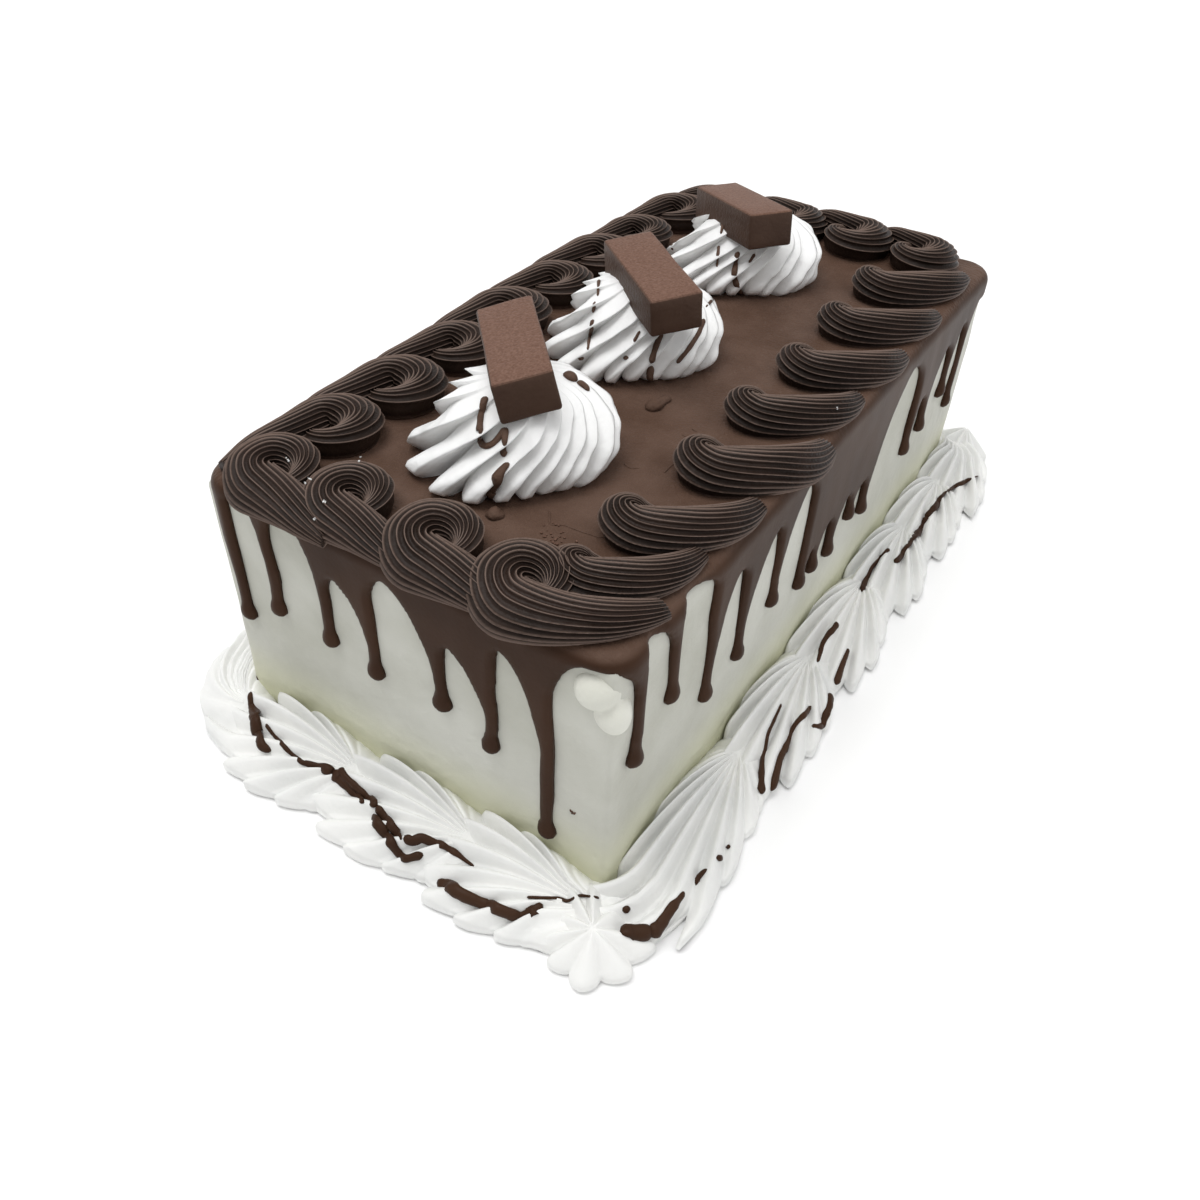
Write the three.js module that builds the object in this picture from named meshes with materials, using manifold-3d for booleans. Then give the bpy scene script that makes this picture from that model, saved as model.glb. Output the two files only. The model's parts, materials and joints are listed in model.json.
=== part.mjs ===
// A loaf-shaped ice cream cake: a frosted loaf under a chocolate glaze that drips down its walls,
// piped chocolate scrolls round its top, three cream rosettes that each carry a chocolate bar, and
// piped cream shells round its foot. Millimetres, +Z up. The origin lies under the loaf's middle,
// the short front end faces -Y and the long right side faces +X.
import * as THREE from "three";
import { mergeVertices } from "three/addons/utils/BufferGeometryUtils.js";
import Module from "manifold-3d";

const wasm = await Module();
wasm.setup();

// The frosted loaf and its glaze.
const WIDTH = 140; // across the loaf's foot, along X
const LENGTH = 279; // along the loaf's foot, along Y
const HEIGHT = 95; // up to the top of the glaze
const UPRIGHT_RADIUS = 9; // of the four upright corners
const GLAZE = 2.4; // thickness of the glaze on top
const SKIRT = 2; // thickness of the glaze down the walls
const EDGE = 3.2; // how far the glaze's rounded top edge reaches down and in
const EDGE_BEND = 0.3; // share of that at which the middle of the rounding lies
const LOAF_EDGE = 2; // the same for the loaf under it
const GAP = 0.3; // left between two pieces that touch
const TOP = HEIGHT + GAP; // where what lies on the glaze begins

// Drips of glaze. A row is one drip: where it runs down, in mm along the straight wall, the height
// of its tip, then where the bare window after it has its top, and how high that top is.
const DRIP_HALF_WIDTH = 3;
const DRIP_TIP = 1.3; // half width of its rounded end
const DRIP_SHOULDER = 4; // above a tip, where the drip has its full width
const WINDOW_SHOULDER = 6; // below a window's top, where its sides begin to close in
const WINDOW_LOWEST_SHOULDER = 0.25; // the same as a share of a low window's height
const WINDOW_LEFT = 0.3; // how far its left side has come there, from the left drip to its top
const WINDOW_RIGHT = 0.6; // and its right side, from its top to the right drip
const WINDOW_HIP = 0.92; // the right side further down
const WINDOW_HIP_DROP = 2.5; // shoulders from the top down to there
const FRONT_DRIPS = [
  [-2.2, 42.2, 7, 89],
  [13.6, 51.4, 26, 90],
  [34.6, 50, 40.5, 76],
  [51.6, 46.2, 61, 85],
  [75.9, 48, 81, 73],
  [93, 41.3, 98.5, 82],
  [111.4, 17.7, 124, 90],
];
const RIGHT_DRIPS = [
  [1.5, 51.2, 6.5, 90],
  [19.2, 60.1, 26, 90],
  [41, 41.8, 48.8, 83],
  [60.8, 42.6, 73.4, 84],
  [82.8, 48.3, 93.4, 88],
  [105.6, 39.8, 110.3, 52],
  [115.4, 40.3, 122, 56],
  [129.8, 38.1, 137.1, 56],
  [145.6, 44.1, 152.5, 54],
  [160, 38.2, 186, 88],
  [200.6, 42.1, 208, 64],
  [215.6, 45.1, 225.7, 77],
  [235.6, 51.5, 242, 80],
  [250.5, 40, 258.4, 84],
];
// The back end and the left side, where nothing of them shows, get drips of the same kind.
const HIDDEN_DRIP_START = 2; // the first one's place on the back wall
const HIDDEN_DRIP_PITCH = 19.5; // mean spacing
const HIDDEN_DRIP_SHIFT = 0.3; // share of that by which one may stand further on
const HIDDEN_WINDOW_PLACE = 0.5; // share of the way from a drip to the next one
const HIDDEN_TIPS = [38, 56]; // lowest and highest tip
const HIDDEN_WINDOWS = [72, 88]; // lowest and highest window top

// A piped scroll: cream starts at an eye, swells as it curls round it, and ends in a thin tail.
const SCROLL_TURN = 0.6; // share of its length that curls round the eye
const SCROLL_CURL_END = 270; // the direction from the eye, in degrees, at which it stops curling
const SCROLL_THIN = 3; // half width at both ends
const SCROLL_SWELL = 5; // added to that where it is thickest
const SCROLL_LOW = 4.2; // height at both ends
const SCROLL_RISE = 6.6; // added to that where it is thickest
const SCROLL_EARLY = 0.7; // below 1 the thickest place lies before the middle
const SCROLL_TAIL_PULL = 2; // how far the tail's end has moved outwards
const SCROLL_WOBBLE = 10; // degrees between the most and the least turned scroll of a row
const SCROLL_EYE = 1; // half width of the hollow at the eye
const SCROLL_CURL_STEPS = 6;
const SCROLL_TAIL_STEPS = 4;
const SCROLL_RIDGES = 4;
const SCROLL_GROOVE = 0.14; // groove depth as a share of the half width

// Each row of scrolls: the way it was piped in degrees from +X, the direction from the eye at which
// its scrolls begin, how far their tails bend back into the row in degrees and how long they are,
// the same for the row's last one, and where each eye lies with the scroll's size.
const SCROLL_ROWS = [
  {
    heading: 4,
    from: 0,
    tail: { bend: 0, length: 28 },
    lastTail: { bend: 72, length: 38 },
    eyes: [[-46, -132, 0.98], [-20, -130, 0.95], [11, -131.3, 1], [39.5, -132, 1]],
  },
  {
    heading: 27,
    from: 90,
    tail: { bend: 72, length: 36 },
    lastTail: { bend: 66, length: 36 },
    eyes: [
      [47, -116, 0.9],
      [47.5, -90.5, 1],
      [50.5, -54.5, 1.08],
      [47.5, -20, 1],
      [48.5, 15, 1.02],
      [46.5, 52, 1.02],
      [44.5, 88, 1.05],
    ],
  },
  {
    heading: 168,
    from: 0,
    tail: { bend: 15, length: 28 },
    lastTail: { bend: 60, length: 30 },
    eyes: [[46, 121, 0.98], [18, 122, 1.03], [-10, 123, 0.97], [-38, 121, 1]],
  },
  {
    heading: 270,
    from: 0,
    tail: { bend: 0, length: 28 },
    lastTail: { bend: 0, length: 30 },
    eyes: [
      [-53, 100, 1],
      [-54, 70, 0.97],
      [-54, 42, 1.04],
      [-54, 12, 1],
      [-53.5, -18, 1.05],
      [-52, -48, 1],
      [-50.5, -79, 1.06],
      [-50.5, -107, 1],
    ],
  },
];

// Cream rosettes: centre, radius, height and the direction of their broad blades in degrees.
const ROSETTES = [
  { x: -1, y: -82, radius: 31.5, height: 27, broad: 225 },
  { x: -7, y: -7, radius: 31, height: 27, broad: 215 },
  { x: -7, y: 72, radius: 31, height: 26, broad: 205 },
];
const ROSETTE_BLADES = 14;
const ROSETTE_CROWDING = 0.35; // how much closer the blades stand on the side away from the broad ones
const ROSETTE_TWIST = 70; // degrees from rim to top, where the blades are neither broad nor crowded
const ROSETTE_TWIST_CHANGE = 40; // more on the crowded side and less on the broad side
const BLADE_DEPTH = 0.2; // share of the radius by which a valley lies behind its blade
const BLADE_DEPTH_CHANGE = 0.5; // share of that by which the broad side's valleys are deeper
const BLADE_EDGE = 0.62; // where in its sector a blade's edge stands
// Height and radius as shares.
const ROSETTE_LEVELS = [[0, 0.86], [0.16, 0.98], [0.38, 1], [0.6, 0.84], [0.8, 0.58], [0.93, 0.33], [1, 0.1]];

// Chocolate bars: the middle of the front lower edge, the way the bar points back in degrees from
// +X, its rise in degrees towards the back and its roll in degrees.
const BAR_WIDTH = 17;
const BAR_THICKNESS = 12.3;
const BAR_LENGTH = 45;
const BAR_CHAMFER = 1;
const BARS = [
  { x: 13.4, y: -93.9, z: 118.5, heading: 133, rise: 0.6, roll: -12.7 },
  { x: 17.9, y: -24.4, z: 116, heading: 141.5, rise: 2.3, roll: -5.2 },
  { x: 12.1, y: 52, z: 116.3, heading: 143.6, rise: -6.3, roll: 0 },
];

// Cream shells round the foot. They begin with a wide ribbed head and end in a narrow tail.
const SHELL_WIDE = 15; // half width at the thickest
const SHELL_HIGH = 17;
const SHELL_HEAD = 0.12; // which stretch of a half wave gives its swelling
const SHELL_SPAN = 0.8;
const SHELL_EARLY = 0.6; // below 1 the thickest place lies before the middle
const SHELL_STEPS = 6;
const SHELL_RIBS = 4;
const SHELL_GROOVE = 0.16; // groove depth as a share of the half width
const SHELL_OUT = 14; // how far off the wall the head's middle lies
const SHELL_TAIL_OUT = 8; // and the tail's
const SHELL_FAN = 5; // how far the head's ribs spread along the wall
const SHELL_FAN_LENGTH = 1 / 3; // share of the length over which they do
// Where each shell begins and how long it is, in mm along the straight wall of each side.
const SHELL_ROWS = [
  [[-5, 52], [38, 54], [83, 45]],
  [[-14, 72], [49, 62], [101, 60], [150, 54], [193, 51], [234, 43]],
  [[-3, 54], [41, 53], [84, 43]],
  [[-6, 52], [36, 50], [76, 50], [116, 50], [156, 50], [196, 49], [233, 38]],
];
// A star of cream closes the row at three corners.
const STAR_RADIUS = 17;
const STAR_HEIGHT = 14;
const STAR_POINTS = 8;
const STAR_NOTCH = 0.62; // radius between two points, as a share
const STAR_LEVELS = [[0, 0.92], [0.32, 1], [0.62, 0.62], [1, 0.12]]; // height and radius as shares
const STARS = [
  { x: 75.5, y: -153, height: STAR_HEIGHT, turn: 0 },
  { x: 75, y: 151.5, height: STAR_HEIGHT + 4, turn: 20 },
  { x: -75, y: 152.5, height: STAR_HEIGHT, turn: 45 },
];

// Drizzled chocolate, fused to the cream it lies on.
const DRIZZLE = 1.5; // half thickness
const DRIZZLE_END = 0.6; // share of that at its ends
// Along a rosette: rosette number, then start and end as degrees round it and share of its height.
const ROSETTE_DRIZZLE = [
  [0, 238, 0.9, 236, 0.55],
  [0, 262, 0.86, 262, 0.5],
  [0, 262, 0.34, 250, 0.08],
  [1, 172, 0.72, 192, 0.3],
  [1, 210, 0.7, 222, 0.3],
  [1, 285, 0.9, 268, 0.25],
  [1, 330, 0.8, 310, 0.3],
  [2, 150, 0.85, 165, 0.4],
  [2, 262, 0.95, 256, 0.3],
];
// Along a shell: row, shell number, then start and end as share of its length and of the way over
// it, from the outer foot (0) to the wall (1).
const SHELL_DRIZZLE = [
  [0, 0, 0.28, 0.72, 0.2, 0.32],
  [0, 0, 0.45, 0.5, 0.9, 0.42],
  [0, 1, 0.3, 0.45, 0.85, 0.3],
  [0, 2, 0.16, 0.3, 0.85, 0.3],
  [1, 0, 0.1, 0.5, 0.32, 0.2],
  [1, 1, 0.12, 0.55, 0.62, 0.62],
  [1, 1, 0.12, 0.38, 0.8, 0.42],
  [1, 2, 0.2, 0.62, 0.6, 0.6],
  [1, 2, 0.1, 0.35, 0.45, 0.4],
  [1, 3, 0.1, 0.5, 0.7, 0.52],
  [1, 4, 0.1, 0.45, 0.85, 0.52],
  [1, 5, 0.1, 0.45, 0.8, 0.35],
];

// A smear of frosting that stands out of the window at the near right corner.
const SMEAR = { run: 124.8, z: 77.5, across: 4.4, thick: 2.6, tall: 9 };
// Two fallen drops of glaze: x, y and radius.
const DROPS = [[14, -38, 4.2], [12.5, -108, 3.4]];
const DROP_HEIGHT = 2.6;

const degrees = THREE.MathUtils.degToRad;
const mix = THREE.MathUtils.lerp;

// A number from 0 to 1 that looks random but is the same for the same count.
function scatter(count) {
  const value = Math.sin(count * 12.9898 + 4.1) * 43758.5453;
  return value - Math.floor(value);
}

// A closed skin put together from rings of points.
class Skin {
  positions = [];
  triangles = [];

  ring(points) {
    const first = this.positions.length / 3;
    points.forEach((p) => this.positions.push(p.x, p.y, p.z));
    return points.map((_, i) => first + i);
  }

  // Walls between two rings of the same count.
  join(a, b) {
    a.forEach((_, i) => {
      const j = (i + 1) % a.length;
      this.triangles.push(a[i], a[j], b[j], a[i], b[j], b[i]);
    });
  }

  // A flat or bent strip of wall inside an outline of [run, height] points, one for each index.
  strip(indexes, outline, outward) {
    const contour = outline.map(([run, z]) => new THREE.Vector2(run, z));
    THREE.ShapeUtils.triangulateShape(contour, []).forEach(([a, b, c]) => {
      const corners = outward ? [a, b, c] : [a, c, b];
      this.triangles.push(...corners.map((corner) => indexes[corner]));
    });
  }

  // A fan over a ring, facing up the rings where `ahead` holds and down them otherwise.
  cap(ring, ahead) {
    const middle = [0, 1, 2].map(
      (axis) => ring.reduce((sum, i) => sum + this.positions[3 * i + axis], 0) / ring.length,
    );
    const centre = this.positions.length / 3;
    this.positions.push(...middle);
    ring.forEach((a, i) => {
      const b = ring[(i + 1) % ring.length];
      this.triangles.push(centre, ahead ? a : b, ahead ? b : a);
    });
  }

  solid() {
    return solidOf(this.positions, this.triangles);
  }
}

function solidOf(positions, triangles) {
  return new wasm.Manifold(
    new wasm.Mesh({
      numProp: 3,
      vertProperties: new Float32Array(positions),
      triVerts: new Uint32Array(triangles),
    }),
  );
}

// A solid from one of three.js's own closed geometries.
function solidFrom(geometry) {
  geometry.deleteAttribute("normal");
  geometry.deleteAttribute("uv");
  const merged = mergeVertices(geometry, 1e-4);
  return solidOf(merged.attributes.position.array, merged.index.array);
}

function loft(rings) {
  const skin = new Skin();
  const made = rings.map((points) => skin.ring(points));
  made.slice(1).forEach((ring, i) => skin.join(made[i], ring));
  skin.cap(made[0], false);
  skin.cap(made[made.length - 1], true);
  return skin.solid();
}

// How many flat parts an end wall, a side wall and a corner are made of.
const END_PARTS = 3;
const SIDE_PARTS = 6;
const CORNER_BENDS = 5;

// The loaf's plan: four straight walls joined by quarter rounds, counted counter-clockwise from the
// left end of the front wall.
const CORNER_RUN = (Math.PI / 2) * UPRIGHT_RADIUS;
const WALLS = [LENGTH, WIDTH, LENGTH, WIDTH].map((across, side) => ({
  off: across / 2,
  straight: (side % 2 ? LENGTH : WIDTH) - 2 * UPRIGHT_RADIUS,
}));
const WALL_STARTS = WALLS.map((_, side) =>
  WALLS.slice(0, side).reduce((sum, wall) => sum + wall.straight + CORNER_RUN, 0),
);
const ROUND = 2 * (WALL_STARTS[2] - WALL_STARTS[0]);

// The point `run` mm round the loaf, `out` mm off its wall at height z.
function atWall(run, out, z) {
  const along = ((run % ROUND) + ROUND) % ROUND;
  const side = WALL_STARTS.findLastIndex((start) => start <= along);
  const wall = WALLS[side];
  const past = along - WALL_STARTS[side];
  const turn = Math.max(0, past - wall.straight) / UPRIGHT_RADIUS;
  const onStraight = Math.min(past, wall.straight) - wall.straight / 2;
  const reach = UPRIGHT_RADIUS + out;
  const point = new THREE.Vector3(
    onStraight + Math.sin(turn) * reach,
    UPRIGHT_RADIUS - wall.off - Math.cos(turn) * reach,
    z,
  );
  return point.applyAxisAngle(new THREE.Vector3(0, 0, 1), (side * Math.PI) / 2);
}

// Places round the loaf: `parts` steps on each straight wall and `bends` on each corner.
function runsRound(endParts, sideParts, bends) {
  return WALLS.flatMap((wall, side) => {
    const parts = side % 2 ? sideParts : endParts;
    const straight = Array.from({ length: parts }, (_, i) => (wall.straight * i) / parts);
    const corner = Array.from({ length: bends }, (_, i) => wall.straight + (CORNER_RUN * i) / bends);
    return [...straight, ...corner].map((run) => run + WALL_STARTS[side]);
  });
}

// The frosted loaf, or the space it fills with `grow` mm of room round it.
function loafSolid(grow) {
  const runs = runsRound(END_PARTS, SIDE_PARTS, CORNER_BENDS);
  const crown = HEIGHT - GLAZE - GAP;
  const levels = [
    [0 - grow, 0],
    [crown / 3, 0],
    [(crown * 2) / 3, 0],
    [crown - LOAF_EDGE, 0],
    [crown, -LOAF_EDGE],
  ];
  return loft(levels.map(([z, out]) => runs.map((run) => atWall(run, out + grow, z))));
}

function smearSolid() {
  const geometry = new THREE.SphereGeometry(1, 8, 6);
  geometry.scale(SMEAR.across, SMEAR.thick, SMEAR.tall);
  const seat = atWall(SMEAR.run, 0, SMEAR.z);
  const off = atWall(SMEAR.run, 1, SMEAR.z).sub(seat);
  geometry.rotateZ(Math.atan2(off.y, off.x) + Math.PI / 2);
  geometry.translate(seat.x, seat.y, seat.z);
  return solidFrom(geometry);
}

// The lower edge of the glaze as [run, height] points, drip by drip.
function glazeDrips() {
  const drips = [
    ...FRONT_DRIPS,
    ...RIGHT_DRIPS.map(([run, tip, window, top]) => [run + WALL_STARTS[1], tip, window + WALL_STARTS[1], top]),
  ];
  const hiddenStart = WALL_STARTS[2] + HIDDEN_DRIP_START;
  const count = Math.round((ROUND - hiddenStart) / HIDDEN_DRIP_PITCH);
  const pitch = (ROUND - hiddenStart) / count;
  const runs = Array.from({ length: count }, (_, i) => hiddenStart + pitch * (i + HIDDEN_DRIP_SHIFT * scatter(i)));
  runs.push(drips[0][0] + ROUND);
  for (let i = 0; i < count; i += 1) {
    const tip = mix(...HIDDEN_TIPS, scatter(i + 50));
    const window = mix(runs[i], runs[i + 1], HIDDEN_WINDOW_PLACE);
    drips.push([runs[i], tip, window, mix(...HIDDEN_WINDOWS, scatter(i + 100))]);
  }
  return drips.flatMap(([run, tip, window, top], i) => {
    const [nextRun, nextTip] = i + 1 < drips.length ? drips[i + 1] : [drips[0][0] + ROUND, drips[0][1]];
    const shoulder = Math.min(WINDOW_SHOULDER, (top - tip) * WINDOW_LOWEST_SHOULDER);
    const left = run + DRIP_HALF_WIDTH;
    const right = nextRun - DRIP_HALF_WIDTH;
    return [
      [run - DRIP_TIP, tip],
      [run + DRIP_TIP, tip],
      [left, tip + DRIP_SHOULDER],
      [mix(left, window, WINDOW_LEFT), top - shoulder],
      [window, top],
      [mix(window, right, WINDOW_RIGHT), top - shoulder],
      [mix(window, right, WINDOW_HIP), top - WINDOW_HIP_DROP * shoulder],
      [right, nextTip + DRIP_SHOULDER],
    ];
  });
}

// The same edge once round from run 0, with a point under each of the given runs.
function glazeHem(runs) {
  const drips = glazeDrips().map(([run, z]) => {
    const along = (run + ROUND) % ROUND;
    return [runs.find((other) => Math.abs(other - along) < GAP) ?? along, z];
  });
  drips.sort((a, b) => a[0] - b[0]);
  const last = drips[drips.length - 1];
  const between = runs
    .filter((run) => !drips.some(([other]) => other === run))
    .map((run) => {
      const next = drips.findIndex(([other]) => other > run);
      const ahead = next < 0 ? [drips[0][0] + ROUND, drips[0][1]] : drips[next];
      const behind = next > 0 ? drips[next - 1] : next < 0 ? last : [last[0] - ROUND, last[1]];
      return [run, mix(behind[1], ahead[1], (run - behind[0]) / (ahead[0] - behind[0]))];
    });
  return [...drips, ...between].sort((a, b) => a[0] - b[0]);
}

function glazeSolid() {
  const runs = runsRound(END_PARTS, SIDE_PARTS, CORNER_BENDS);
  const hem = glazeHem(runs);
  const off = GAP + SKIRT;
  const skin = new Skin();
  const hemRing = (out) => skin.ring(hem.map(([run, z]) => atWall(run, out, z)));
  const level = (out, z) => skin.ring(runs.map((run) => atWall(run, out, z)));
  const curtain = (low, high, height, outward) =>
    runs.forEach((from, i) => {
      const to = i + 1 < runs.length ? runs[i + 1] : ROUND;
      const under = hem.map(([run, z], k) => [run, z, low[k]]).filter(([run]) => run >= from && run <= to);
      const closing = to === ROUND ? [[ROUND, hem[0][1], low[0]]] : [];
      const outline = [
        ...under,
        ...closing,
        [to, height, high[(i + 1) % runs.length]],
        [from, height, high[i]],
      ];
      skin.strip(outline.map(([, , index]) => index), outline, outward);
    });

  const outerHem = hemRing(off);
  const outerTop = [
    level(off, HEIGHT - EDGE),
    level(off - EDGE * EDGE_BEND, HEIGHT - EDGE * EDGE_BEND),
    level(off - EDGE, HEIGHT),
  ];
  curtain(outerHem, outerTop[0], HEIGHT - EDGE, true);
  skin.join(outerTop[0], outerTop[1]);
  skin.join(outerTop[1], outerTop[2]);
  skin.cap(outerTop[2], true);

  const under = HEIGHT - GLAZE;
  const innerHem = hemRing(GAP);
  const innerTop = [level(GAP, under - LOAF_EDGE), level(GAP - LOAF_EDGE, under)];
  curtain(innerHem, innerTop[0], under - LOAF_EDGE, false);
  skin.join(innerTop[1], innerTop[0]);
  skin.cap(innerTop[1], false);
  skin.join(innerHem, outerHem);
  return skin.solid();
}

// A low round drop of chocolate that sits in the top of the glaze.
function dropSolid([x, y, radius]) {
  const geometry = new THREE.SphereGeometry(1, 8, 6);
  geometry.rotateX(Math.PI / 2);
  geometry.scale(radius, radius, DROP_HEIGHT);
  geometry.translate(x, y, HEIGHT);
  return solidFrom(geometry);
}

// The ridged arch that a star-shaped nozzle leaves, as [side, height] shares.
function archPoints(ridges, groove) {
  return Array.from({ length: 2 * ridges + 1 }, (_, i) => {
    const angle = (Math.PI * i) / (2 * ridges);
    const reach = i % 2 ? 1 : i === 0 || i === 2 * ridges ? 1 : 1 - groove;
    return [Math.cos(angle) * reach, Math.sin(angle) * reach];
  });
}

// The middle of a scroll's cream, the way it runs and its size, at share t of its length.
function scrollAt({ size, from, tail }, t) {
  const swell = Math.sin(Math.PI * t ** SCROLL_EARLY);
  const half = SCROLL_THIN + SCROLL_SWELL * swell;
  const reach = half + SCROLL_EYE;
  const place = new THREE.Vector2();
  const way = new THREE.Vector2();
  if (t <= SCROLL_TURN) {
    const angle = degrees(mix(from, SCROLL_CURL_END, t / SCROLL_TURN));
    place.set(Math.cos(angle) * reach, Math.sin(angle) * reach);
    way.set(-Math.sin(angle), Math.cos(angle));
  } else {
    const share = (t - SCROLL_TURN) / (1 - SCROLL_TURN);
    const turned = degrees(tail.bend) * share;
    const gone = tail.length * share;
    place.set(gone * Math.cos(turned / 2), gone * Math.sin(turned / 2) - reach - SCROLL_TAIL_PULL * share);
    way.set(Math.cos(turned), Math.sin(turned));
  }
  return {
    place: place.multiplyScalar(size),
    way,
    half: half * size,
    height: (SCROLL_LOW + SCROLL_RISE * swell) * size,
  };
}

// The curl and the tail are two solids joined, because a bent tail touches the curl it comes from.
function scrollSolid(scroll, grow) {
  const arch = archPoints(SCROLL_RIDGES, SCROLL_GROOVE);
  const ringAt = (t) => {
    const { place, way, half, height } = scrollAt(scroll, t);
    const shift = grow * (t === 0 ? -1 : t === 1 ? 1 : 0);
    return arch.map(([side, up]) => {
      const flat = new THREE.Vector2(
        place.x + way.x * shift - way.y * side * (half + grow),
        place.y + way.y * shift + way.x * side * (half + grow),
      ).rotateAround(new THREE.Vector2(), degrees(scroll.heading));
      return new THREE.Vector3(scroll.x + flat.x, scroll.y + flat.y, TOP - grow + up * (height + 2 * grow));
    });
  };
  const curl = loft(pointsBetween(SCROLL_CURL_STEPS, (share) => ringAt(share * SCROLL_TURN)));
  const tail = loft(pointsBetween(SCROLL_TAIL_STEPS, (share) => ringAt(mix(SCROLL_TURN, 1, share))));
  return curl.add(tail);
}

const SCROLLS = SCROLL_ROWS.flatMap(({ heading, from, tail, lastTail, eyes }, row) =>
  eyes.map(([x, y, size], i) => ({
    x,
    y,
    heading: heading + SCROLL_WOBBLE * (scatter(10 * row + i) - 0.5),
    from,
    tail: i === eyes.length - 1 ? lastTail : tail,
    size,
  })),
);

// A point on a rosette: `round` degrees about it at the rim, `level` as a share of its height.
function rosettePoint({ x, y, radius, height, broad }, round, level, reach, grow) {
  const fromBroad = Math.cos(degrees(round - broad));
  const twist = ROSETTE_TWIST - ROSETTE_TWIST_CHANGE * fromBroad;
  const angle = degrees(round + twist * level);
  const index = ROSETTE_LEVELS.findIndex(([z]) => z >= level);
  const above = ROSETTE_LEVELS[Math.max(1, index)];
  const below = ROSETTE_LEVELS[Math.max(1, index) - 1];
  const span = mix(below[1], above[1], (level - below[0]) / (above[0] - below[0]));
  const out = radius * span * reach + grow;
  return new THREE.Vector3(x + Math.cos(angle) * out, y + Math.sin(angle) * out, TOP + height * level);
}

function rosetteSolid(rosette) {
  const crowd = (share) => share * 360 - THREE.MathUtils.radToDeg(ROSETTE_CROWDING) * Math.sin(2 * Math.PI * share);
  const rings = ROSETTE_LEVELS.map(([level]) =>
    Array.from({ length: 2 * ROSETTE_BLADES }, (_, i) => {
      const valley = i % 2;
      const share = (Math.floor(i / 2) + (valley ? 1 : BLADE_EDGE)) / ROSETTE_BLADES;
      const round = rosette.broad + 180 + crowd(share);
      const depth = BLADE_DEPTH * (1 + BLADE_DEPTH_CHANGE * Math.cos(degrees(round - rosette.broad)));
      return rosettePoint(rosette, round, level, valley ? 1 - depth : 1, 0);
    }),
  );
  return loft(rings);
}

// A bar of chocolate with chamfered edges, or the space it fills with `grow` mm of room round it.
function barSolid({ x, y, z, heading, rise, roll }, grow) {
  const half = BAR_WIDTH / 2 + grow;
  const thick = BAR_THICKNESS + 2 * grow;
  const cut = BAR_CHAMFER;
  const outline = new THREE.Shape([
    new THREE.Vector2(-half + cut, 0),
    new THREE.Vector2(half - cut, 0),
    new THREE.Vector2(half, cut),
    new THREE.Vector2(half, thick - cut),
    new THREE.Vector2(half - cut, thick),
    new THREE.Vector2(-half + cut, thick),
    new THREE.Vector2(-half, thick - cut),
    new THREE.Vector2(-half, cut),
  ]);
  const geometry = new THREE.ExtrudeGeometry(outline, {
    depth: BAR_LENGTH + 2 * grow - 2 * cut,
    bevelThickness: cut,
    bevelSize: cut,
    bevelOffset: -cut,
    bevelSegments: 1,
  });
  geometry.translate(0, -grow, cut - grow);
  geometry.rotateZ(degrees(roll));
  geometry.rotateX(degrees(90 - rise));
  geometry.rotateZ(degrees(heading + 90));
  geometry.translate(x, y, z);
  return solidFrom(geometry);
}

// A point on a shell of cream: t along it, `over` from its outer foot (0) across to the wall (1).
function shellPoint(shell, t, over, reach, grow) {
  const swell = Math.sin(Math.PI * (SHELL_HEAD + SHELL_SPAN * t) ** SHELL_EARLY);
  const half = SHELL_WIDE * swell + grow;
  const run = shell.start + (shell.length + 2 * grow) * t - grow;
  const middle = mix(SHELL_OUT, SHELL_TAIL_OUT, t);
  const angle = Math.PI * over;
  const out = middle + Math.cos(angle) * half * reach;
  const fan = SHELL_FAN * Math.max(0, 1 - t / SHELL_FAN_LENGTH) * Math.cos(angle);
  const up = Math.max(0, Math.sin(angle) * reach * (SHELL_HIGH * swell + grow));
  return atWall(run - fan, out, up);
}

function shellSolid(shell, grow) {
  const rings = Array.from({ length: SHELL_STEPS + 1 }, (_, i) =>
    Array.from({ length: 2 * SHELL_RIBS + 1 }, (_, k) => {
      const groove = k % 2 ? 0 : k === 0 || k === 2 * SHELL_RIBS ? 0 : SHELL_GROOVE;
      const point = shellPoint(shell, i / SHELL_STEPS, 1 - k / (2 * SHELL_RIBS), 1 - groove, grow);
      point.z = k === 0 || k === 2 * SHELL_RIBS ? -grow : point.z;
      return point;
    }),
  );
  return loft(rings);
}

const SHELLS = SHELL_ROWS.flatMap((row, side) =>
  row.map(([start, length], i) => ({ row: side, number: i, start: start + WALL_STARTS[side], length })),
);

function starSolid({ x, y, height, turn }, grow) {
  const rings = STAR_LEVELS.map(([level, span]) =>
    Array.from({ length: 2 * STAR_POINTS }, (_, i) => {
      const angle = degrees(turn) + (Math.PI * i) / STAR_POINTS;
      const out = STAR_RADIUS * span * (i % 2 ? STAR_NOTCH : 1) + grow;
      return new THREE.Vector3(
        x + Math.cos(angle) * out,
        y + Math.sin(angle) * out,
        level * height + (level === 0 ? -grow : grow),
      );
    }),
  );
  return loft(rings);
}

// A strand of drizzle through the given points, four-sided, half sunk in what it lies on.
function strandSolid(points) {
  const sides = 4;
  const rings = points.map((point, i) => {
    const ahead = points[Math.min(points.length - 1, i + 1)];
    const behind = points[Math.max(0, i - 1)];
    const way = ahead.clone().sub(behind).normalize();
    const side = new THREE.Vector3(0, 0, 1).cross(way).normalize();
    const up = way.clone().cross(side);
    const thin = i === 0 || i === points.length - 1 ? DRIZZLE_END : 1;
    return Array.from({ length: sides }, (_, k) => {
      const angle = (2 * Math.PI * k) / sides;
      return point
        .clone()
        .addScaledVector(side, DRIZZLE * thin * Math.cos(angle))
        .addScaledVector(up, DRIZZLE * thin * Math.sin(angle));
    });
  });
  return loft(rings);
}

function pointsBetween(steps, place) {
  return Array.from({ length: steps + 1 }, (_, i) => place(i / steps));
}

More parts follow.
